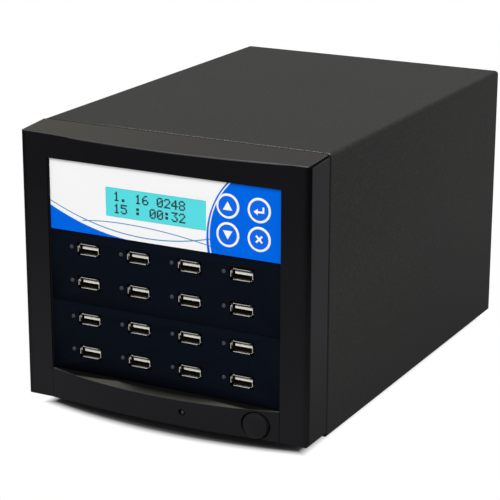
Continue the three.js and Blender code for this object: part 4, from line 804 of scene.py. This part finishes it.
# Keys: four round blue caps of moulded plastic, each on a stem over a small push switch.
# A raised white rim and a white sign stand on each face: up, down, enter and escape.
key_radius = 7.15 * mm
rim_inner = 5.75 * mm
rim_border = 0.08 * mm
flat_radius = 5 * mm
face_radii = (0, flat_radius, 6 * mm, 6.6 * mm)
face_drop = 0.2 * mm
flange_radius = 7.8 * mm
flange_inset, flange_sheet = 2 * mm, 1 * mm
key_stem = 2.2 * mm
key_edge = 0.15 * mm
mark = 0.04 * mm
white_finish = 1
rim = Finish("white ink")
white_ink = rim.surface(
    base_color=rim.blend(rim.noise(2 * mm), paint("f8f9fa"), paint("fdfdfd")), roughness=0.35,
)
cap = Finish("blue key")
key_skin = cap.noise(0.3 * mm)
key_blue = cap.surface(
    base_color=cap.blend(cap.noise(6 * mm), paint("0065e5"), paint("056bea")),
    roughness=0.32 + 0.08 * key_skin, normal=cap.bump(key_skin, 0.01 * mm, 0.3), specular=0.08,
)


def key_face(radius):
    """How far the cap's face lies behind its centre at a radius."""
    share = max(0, radius - flat_radius) / (key_radius - flat_radius)
    return face_drop * share ** 2


signs = {
    "key_up": [(-2.95, -2.3), (2.95, -2.3), (0, 2.7)],
    "key_down": [(-2.95, 2.3), (0, -2.7), (2.95, 2.3)],
    "key_enter": [
        (-3.4, -0.9), (-0.9, -2.7), (-0.9, -1.45), (3.1, -1.45), (3.1, 2.1), (2, 2.1), (2, -0.35),
        (-0.9, -0.35), (-0.9, 0.9),
    ],
    "key_escape": [
        (-2.3, -1.5), (-1.5, -2.3), (0, -0.8), (1.5, -2.3), (2.3, -1.5), (0.8, 0), (2.3, 1.5), (1.5, 2.3),
        (0, 0.8), (-1.5, 2.3), (-2.3, 1.5), (-0.8, 0),
    ],
}
for node, outline in signs.items():
    low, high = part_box(node)
    stem_end = high.y - low.y
    flange_front = stem_end - flange_inset
    flange_back = flange_front + flange_sheet
    face = [(radius, key_face(radius), 0) for radius in face_radii]
    shape = turned(bmesh.new(), eased([
        *face, (key_radius, face_drop, key_edge), (key_radius, flange_front, 0),
        (flange_radius, flange_front, 0), (flange_radius, flange_back, 0), (key_stem, flange_back, 0),
        (key_stem, stem_end, 0), (0, stem_end, 0),
    ]), 64)
    rim_width = key_radius - rim_border - rim_inner
    steps = [rim_inner + rim_width * k / 4 for k in range(5)]
    ring = [(radius, key_face(radius) - mark) for radius in steps]
    ring += [(radius, key_face(radius) + mark) for radius in reversed(steps)]
    banded(shape, [
        [(r * math.cos(turn), y, r * math.sin(turn)) for r, y in ring]
        for turn in (2 * math.pi * k / 64 for k in range(64))
    ], white_finish, closed=True)
    banded(shape, [[(a * mm, y, b * mm) for a, b in outline] for y in (-mark, mark)], white_finish)
    made(node + "_cap", shape, [key_blue, white_ink], seat(node), node, [node])
keypad_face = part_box("keypad_board")[1].y - board_sheet
dress("keypad_board", circuit_board("keypad board", "y", keypad_face, 4 * mm))

# Inner steel: base pan, front frame, rear panel, bay cage and supply case.
# All are folded from zinc plated sheet, and screws and tabs hold them together.
for node in ("base_pan", "front_frame", "rear_panel", "bay_cage", "supply_case"):
    dress(node, zinc, fold=12)

# Copy controller, supply board and cables: green boards on stand-offs, with their parts soldered on.
# Flat grey cables run down to the usb boards, and a bundle of wires brings the power.
standoff = 4.7 * mm
strand_pitch = 1.27 * mm
for node, pitch in (("controller_board", 14 * mm), ("supply_board", 16 * mm)):
    dress(node, circuit_board(node.replace("_", " "), "z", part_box(node)[0].z + standoff, pitch))
flat = Finish("flat cable")
strands = abs(flat.node("Math", {"operation": "FRACT"}, {0: flat.x / strand_pitch}) - 0.5)
cable_grey = flat.surface(
    base_color=flat.blend(strands * 2, paint("9a9ea2"), paint("74787c")), roughness=0.55,
    normal=flat.bump(strands, 0.3 * mm, 0.6),
)
for node in ("ribbon_lower", "ribbon_upper", "power_harness"):
    dress(node, cable_grey)

# Fans: black mouldings with seven blades, one behind the rear panel and one in the power supply.
# Each rotor turns on a shaft in the tube of its frame.
fan = Finish("fan plastic")
fan_skin = fan.noise(0.5 * mm)
fan_black = fan.surface(
    base_color=fan.blend(fan.noise(20 * mm), paint("18181a"), paint("1e1e20")),
    roughness=0.4 + 0.1 * fan_skin, normal=fan.bump(fan_skin, 0.02 * mm, 0.4), specular=0.3,
)
for node in ("supply_fan_frame", "supply_fan_rotor", "exhaust_fan_frame", "exhaust_fan_rotor"):
    dress(node, fan_black)

# Guard: round nickelled wires, four rings welded under four spokes that end in eyes.
# The fan's long screws pass through the eyes, and their domed heads hold guard, panel and fan together.
wire_radius = 0.78 * mm
fan_bore = 38 * mm
screw_offset = 35.75 * mm
screw_reach = math.hypot(screw_offset, screw_offset)
eye_radius = 3.2 * mm
head_foot_edge, head_side_edge, head_dome_edge = 0.1 * mm, 0.5 * mm, 0.4 * mm
slot_half = 0.4 * mm
fan_screw_radius, fan_screw_height, fan_screw_lift = 3.3 * mm, 1.9 * mm, 0.9 * mm
spoke_step = 1.2 * mm
ring_shares = (0.26, 0.5, 0.74, 0.98)
guard_x, guard_front, guard_z = seat("fan_guard")
guard_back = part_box("fan_guard")[1].y


def wire(shape, points, closed=False, sides=10):
    """Adds round wire along points of (x, z), with its middle at y 0."""
    rings = []
    count = len(points)
    for k, (x, z) in enumerate(points):
        before = points[k - 1] if closed or k else points[k]
        after = points[(k + 1) % count] if closed or k + 1 < count else points[k]
        across = Vector((before[1] - after[1], after[0] - before[0])).normalized() * wire_radius
        rings.append([
            (x + across.x * math.cos(turn), wire_radius * math.sin(turn), z + across.y * math.cos(turn))
            for turn in (2 * math.pi * side / sides for side in range(sides))
        ])
    banded(shape, rings, closed=closed)


def circle(x, z, radius, steps):
    turns = [2 * math.pi * k / steps for k in range(steps)]
    return [(x + radius * math.cos(turn), z + radius * math.sin(turn)) for turn in turns]


guard = bmesh.new()
for share in ring_shares:
    wire(guard, circle(0, 0, fan_bore * share, 72), closed=True)
spokes = bmesh.new()
for quarter in range(4):
    turn = math.radians(45 + 90 * quarter)
    across, upward = math.cos(turn), math.sin(turn)
    spoke_ends = (fan_bore * ring_shares[0] - wire_radius, screw_reach - eye_radius)
    wire(spokes, [(reach * across, reach * upward) for reach in spoke_ends])
    wire(spokes, circle(screw_reach * across, screw_reach * upward, eye_radius, 28), closed=True)
ring_y = guard_front + wire_radius
made(
    "guard_rings", guard, [nickelled], (guard_x, ring_y, guard_z),
    stands_for=["fan_guard"], fold=60,
)
made(
    "guard_spokes", spokes, [nickelled], (guard_x, ring_y + spoke_step, guard_z),
    fold=60,
)


def carved(shape, tool):
    """Cuts one closed body out of another."""
    solids = []
    for part in (shape, tool):
        mesh = bpy.data.meshes.new("carving")
        bmesh.ops.recalc_face_normals(part, faces=part.faces)
        part.to_mesh(mesh)
        part.free()
        solid = bpy.data.objects.new("carving", mesh)
        bpy.context.scene.collection.objects.link(solid)
        solids.append(solid)
    cutter = solids[0].modifiers.new("cut", "BOOLEAN")
    cutter.object = solids[1]
    cutter.solver = "EXACT"
    result = bmesh.new()
    result.from_object(solids[0], bpy.context.evaluated_depsgraph_get())
    for solid in solids:
        bpy.data.meshes.remove(solid.data)
    return result


def crossed(head, reach, half, front, back):
    """Cuts two crossed slots for a driver into a head."""
    for wide, high in ((reach, half), (half, reach)):
        head = carved(head, boxed(bmesh.new(), (-wide, front, -high), (wide, back, high)))
    return head


def screw_head(radius, height):
    """A domed pan head with a crossed recess, standing on y 0 and facing back."""
    head = turned(bmesh.new(), eased([
        (0, 0, 0), (radius, 0, head_foot_edge), (radius, height * 0.45, head_side_edge),
        (radius * 0.72, height * 0.9, head_dome_edge), (0, height, 0),
    ]), 32)
    return crossed(head, radius * 0.6, slot_half, height * 0.35, height * 1.2)


screw_mesh = meshed("fan_screw", screw_head(fan_screw_radius, fan_screw_height), [nickelled], 35)
for k, (side, level) in enumerate(((-1, -1), (1, -1), (1, 1), (-1, 1))):
    placed(
        f"fan_screw_{k + 1}", screw_mesh,
        (guard_x + side * screw_offset, guard_back + fan_screw_lift, guard_z + level * screw_offset),
    )

# Supply screws: four smaller plated heads in the rim of the panel's window.
# They are driven through the panel into the corners of the supply's case.
border = 4 * mm
supply_screw_radius, supply_screw_height = 2.1 * mm, 1.4 * mm
panel_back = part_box("rear_panel")[1].y
supply_low, supply_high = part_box("supply_case")
left, right = supply_low.x + border / 2, supply_high.x - border / 2
lower, upper = supply_low.z + border / 2, supply_high.z - border / 2
supply_screw = screw_head(supply_screw_radius, supply_screw_height)
small_mesh = meshed("supply_screw", supply_screw, [nickelled], 35)
for k, (x, z) in enumerate(((left, lower), (right, lower), (right, upper), (left, upper))):
    placed(f"supply_screw_{k + 1}", small_mesh, (x, panel_back, z))

# Inlet: a black moulding clipped into the supply's back, with three flat plated pins in its mouth.
# The rocker's frame beside it is of the same plastic.
pin_half_width = 1.05 * mm
pin_half_height = 2.1 * mm
pin_spread = 7 * mm
pin_shift = 2 * mm
mouth_front, mouth_back = 15.9 * mm, 1.2 * mm
inlet_x, _, inlet_z = seat("inlet_socket")
inlet_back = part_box("inlet_socket")[1].y
socket_plastic = Finish("glossy black moulding")
plastic_skin = socket_plastic.noise(0.4 * mm)
from_x = abs(socket_plastic.x - inlet_x)
from_z = socket_plastic.z - inlet_z
outer_pins = (abs(from_x - pin_spread) < pin_half_width) * (abs(from_z + pin_shift) < pin_half_height)
middle_pin = (from_x < pin_half_width) * (abs(from_z - pin_shift) < pin_half_height)
in_mouth = (socket_plastic.y > inlet_back - mouth_front) * (socket_plastic.y < inlet_back - mouth_back)
pin_metal = (outer_pins | middle_pin) * in_mouth
plastic_black = socket_plastic.blend(socket_plastic.noise(15 * mm), paint("1b1b1d"), paint("222224"))
inlet_black = socket_plastic.surface(
    base_color=socket_plastic.blend(pin_metal, plastic_black, paint("c3bfb4")), metallic=pin_metal,
    roughness=0.38 + 0.1 * plastic_skin - 0.12 * pin_metal,
    normal=socket_plastic.bump(plastic_skin, 0.02 * mm, 0.4), specular=0.3,
)
dress("inlet_socket", inlet_black, moulded_edge)
dress("rocker_frame", inlet_black, moulded_edge)

# Rocker: a glossy black moulded paddle that tips on two pins in its frame.
# A white bar is printed on it for on and a white ring for off.
mark_offset = 4.2 * mm
ring_radius = 1.45 * mm
bar_half_width, bar_half_height = 0.25 * mm, 1.7 * mm
mark_depth = 3.4 * mm
paddle_edge = 0.25 * mm
rocker_x, rocker_front, rocker_z = seat("rocker")
paddle = Finish("marked paddle")
mark_x = paddle.x - rocker_x
mark_z = paddle.z - rocker_z
ring_z = mark_z + mark_offset
off_ring = abs((mark_x * mark_x + ring_z * ring_z) ** 0.5 - ring_radius)
ring_ink = 1 - paddle.ramp(off_ring, 0.22 * mm, 0.32 * mm)
off_bar = (abs(mark_x) - bar_half_width) | (abs(mark_z - mark_offset) - bar_half_height)
bar_ink = 1 - paddle.ramp(off_bar, -0.05 * mm, 0.05 * mm)
on_back = paddle.ramp(paddle.y - rocker_front, mark_depth, mark_depth + 0.1 * mm)
paddle_black = paddle.blend(paddle.noise(8 * mm), paint("19191b"), paint("1f1f22"))
rocker_black = paddle.surface(
    base_color=paddle.blend((ring_ink | bar_ink) * on_back, paddle_black, paint("e4e4e4")),
    roughness=0.28 + 0.12 * paddle.noise(0.5 * mm), specular=0.4,
)
dress("rocker", rocker_black, paddle_edge)

# Thumbscrews: black plated steel, turned, with a knurled head, a crossed slot and a machine thread.
# They pass through the cover's back flange and hold it to the rear panel.
collar, collar_gap = 1.5 * mm, 0.05 * mm
collar_radius, collar_edge = 3.6 * mm, 0.2 * mm
joint_overlap = 0.1 * mm
head_length = 6.5 * mm
head_radius = 4.5 * mm
front_bevel, back_bevel, bevel_groove = 0.5 * mm, 0.6 * mm, 0.1 * mm
knurl_depth = 0.35 * mm
driver_reach, driver_half, driver_depth = 2.9 * mm, 0.6 * mm, 1.6 * mm
cutter_overrun = 1 * mm
shank = 9 * mm
thread_pitch = 0.7 * mm
thread_root, thread_crest = 1.4 * mm, 1.73 * mm
ridges = 26
plating = Finish("black plating")
plating_skin = plating.noise(0.4 * mm)
black_plating = plating.surface(
    base_color=plating.blend(plating.noise(2 * mm), paint("1c1c1f"), paint("2b2b2f")), metallic=0.6,
    roughness=0.35 + 0.15 * plating_skin, normal=plating.bump(plating_skin, 0.01 * mm, 0.3), specular=0.4,
)


def knurled_ring(along, ridge, groove):
    """A ring round the head, out to one radius on its ridges and to another in its grooves."""
    points = []
    for k in range(4 * ridges):
        radius = ridge if k % 4 in (1, 2) else groove
        turn = 2 * math.pi * (k + (0.25 if k % 4 in (1, 3) else -0.25)) / (4 * ridges)
        points.append((radius * math.cos(turn), along, radius * math.sin(turn)))
    return points


head_back = collar + head_length
head = banded(bmesh.new(), [
    knurled_ring(collar, head_radius - front_bevel, head_radius - front_bevel - bevel_groove),
    knurled_ring(collar + front_bevel, head_radius, head_radius - knurl_depth),
    knurled_ring(head_back - back_bevel, head_radius, head_radius - knurl_depth),
    knurled_ring(head_back, head_radius - back_bevel, head_radius - back_bevel - bevel_groove),
])
head = crossed(head, driver_reach, driver_half, head_back - driver_depth, head_back + cutter_overrun)
turned(head, eased([
    (0, collar_gap, 0), (collar_radius, collar_gap, collar_edge),
    (collar_radius, collar + joint_overlap, 0), (0, collar + joint_overlap, 0),
]), 40)
thread = [(0, -shank)]
for k in range(int(shank / thread_pitch)):
    thread += [
        (thread_root, -shank + k * thread_pitch), (thread_crest, -shank + (k + 0.5) * thread_pitch),
    ]
turned(head, [*thread, (thread_root, joint_overlap), (0, joint_overlap)], 20)
thumb_mesh = meshed("thumbscrew", head, [black_plating])
for place in ("low_left", "low_right", "high_left", "high_right"):
    x, front, z = seat("thumbscrew_" + place)
    placed(
        "thumb_" + place, thumb_mesh, (x, front + shank, z),
        stands_for=["thumbscrew_" + place],
    )

# Feet: four moulded rubber pucks with rounded rims, whose spigots stand in holes of the base pan.
# A plated screw in the recess of each holds it there. The puck is turned about y, then set upright.
foot_radius, foot_edge = 8 * mm, 0.9 * mm
foot_top_radius, foot_top_edge = 9 * mm, 0.5 * mm
foot_height = 7.2 * mm
recess_radius, recess_depth, recess_edge = 3 * mm, 2.5 * mm, 0.4 * mm
spigot_radius, spigot_top, spigot_edge = 2.5 * mm, 8.6 * mm, 0.2 * mm
foot_screw_radius, foot_screw_height, foot_screw_sink = 2.7 * mm, 1.5 * mm, 0.05 * mm
rubber = Finish("black rubber")
rubber_skin = rubber.noise(0.6 * mm, 4)
foot_rubber = rubber.surface(
    base_color=rubber.blend(rubber.noise(8 * mm), paint("161616"), paint("1e1e1d")),
    roughness=0.75 + 0.15 * rubber_skin, normal=rubber.bump(rubber_skin, 0.05 * mm, 0.5), specular=0.2,
)
puck = turned(bmesh.new(), eased([
    (0, recess_depth, 0), (recess_radius, recess_depth, 0), (recess_radius, 0, recess_edge),
    (foot_radius, 0, foot_edge), (foot_top_radius, foot_height, foot_top_edge),
    (spigot_radius, foot_height, 0), (spigot_radius, spigot_top, spigot_edge), (0, spigot_top, 0),
], 5), 56)
screw = screw_head(foot_screw_radius, foot_screw_height)
for vertex in screw.verts:
    vertex.co.y = recess_depth + foot_screw_sink - vertex.co.y
for face in screw.faces:
    face.material_index = 1
loose_screw = bpy.data.meshes.new("foot_screw")
screw.to_mesh(loose_screw)
screw.free()
puck.from_mesh(loose_screw)
bpy.data.meshes.remove(loose_screw)
for vertex in puck.verts:
    vertex.co = Vector((vertex.co.x, -vertex.co.z, vertex.co.y))
puck_mesh = meshed("foot_puck", puck, [foot_rubber, nickelled], 35)
for place in ("front_left", "front_right", "back_left", "back_right"):
    low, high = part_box("foot_" + place)
    placed(
        "puck_" + place, puck_mesh, ((low.x + high.x) / 2, (low.y + high.y) / 2, low.z),
        stands_for=["foot_" + place],
    )

# Camera: from the right of the front and a little above, with a long lens.
# Its place, turn and lens were fitted to the photo's straight edges.
seam = cover_low.y - 0.4 * mm
lens_data = bpy.data.cameras.new("camera")
lens_data.lens = 135.56
lens_data.sensor_width = 36
lens_data.clip_end = 20
camera = bpy.data.objects.new("camera", lens_data)
bpy.context.scene.collection.objects.link(camera)
camera.location = (510.16 * mm, seam - 885.55 * mm, 414.17 * mm)
camera.rotation_euler = (math.radians(73.053), math.radians(-0.116), math.radians(27.795))
bpy.context.scene.camera = camera

# Studio: a pale floor, painted darker under the object as a painted shadow, that turns white away from the
# object, in a white surround.
# A wide lamp hangs above, a large one above the front, and softer ones in front and to the right.
floor_half = 6
shadow_bow = 9 * mm
white_light = (1, 1, 1, 1)


def seen_directly(nodes):
    """1 for rays from the camera, a mirror or a pane, which see the studio white."""
    camera_ray, glossy_ray, clear_ray = (nodes.node("LightPath", output=name) for name in (
        "Is Camera Ray", "Is Glossy Ray", "Is Transmission Ray",
    ))
    return camera_ray | glossy_ray | clear_ray


floor_finish = Finish("pale floor")
along_front = floor_finish.x / bar_high.x
behind_lip = floor_finish.y - bar_low.y - shadow_bow * along_front * along_front
away = (abs(floor_finish.x) - solid_box[1][0]) | (floor_finish.y - cover_high.y) | (0 - behind_lip)
pale = floor_finish.blend(floor_finish.noise(0.4), paint("c4c4c4"), paint("cacaca"))
floor_finish.surface(
    # Painted shadow: the floor's colour is darker under and just around the object.
    base_color=floor_finish.blend(floor_finish.ramp(away, -16 * mm, -6 * mm), paint("6c6c6c"), pale),
    roughness=0.9, specular=0.0,
)
floor_finish.feed(
    floor_finish.tree.nodes["Material Output"].inputs["Surface"],
    floor_finish.node("MixShader", sockets={
        0: floor_finish.ramp(away, -12 * mm, -5 * mm) * seen_directly(floor_finish),
        1: Value(floor_finish, floor_finish.tree.nodes["Principled BSDF"].outputs[0]),
        2: floor_finish.node("Emission", sockets={"Color": white_light, "Strength": 1.0}),
    }),
)
floor_mesh = bpy.data.meshes.new("floor")
floor_mesh.from_pydata([
    (-floor_half, -floor_half, 0), (floor_half, -floor_half, 0), (floor_half, floor_half, 0),
    (-floor_half, floor_half, 0),
], [], [(0, 1, 2, 3)])
floor_mesh.materials.append(floor_finish.material)
floor = bpy.data.objects.new("floor", floor_mesh)
bpy.context.scene.collection.objects.link(floor)

world = bpy.data.worlds.new("studio")
bpy.context.scene.world = world
sky = Nodes(world)
sky.tree.nodes.clear()
dim, bright = (
    sky.node("Background", sockets={"Color": white_light, "Strength": level}) for level in (0.3, 1.0)
)
surround = sky.node("MixShader", sockets={0: seen_directly(sky), 1: dim, 2: bright})
sky.feed(sky.tree.nodes.new("ShaderNodeOutputWorld").inputs["Surface"], surround)


def lamp_at(name, place, size, watts):
    data = bpy.data.lights.new(name, "AREA")
    data.shape = "SQUARE"
    data.size = size
    data.energy = watts
    source = bpy.data.objects.new(name, data)
    bpy.context.scene.collection.objects.link(source)
    source.location = place
    source.rotation_euler = (Vector((0, 0, 0.1)) - Vector(place)).to_track_quat("-Z", "Y").to_euler()


lamp_at("lamp_above", (0, 0.4, 1.7), 1.4, 16)
lamp_at("lamp_key", (0.1, -1.4, 1.4), 0.8, 18)
lamp_at("lamp_front", (-0.4, -1.8, 0.7), 1.2, 4)
lamp_at("lamp_right", (1.7, -0.1, 0.8), 1.0, 6)

bpy.context.scene.view_settings.view_transform = "Standard"
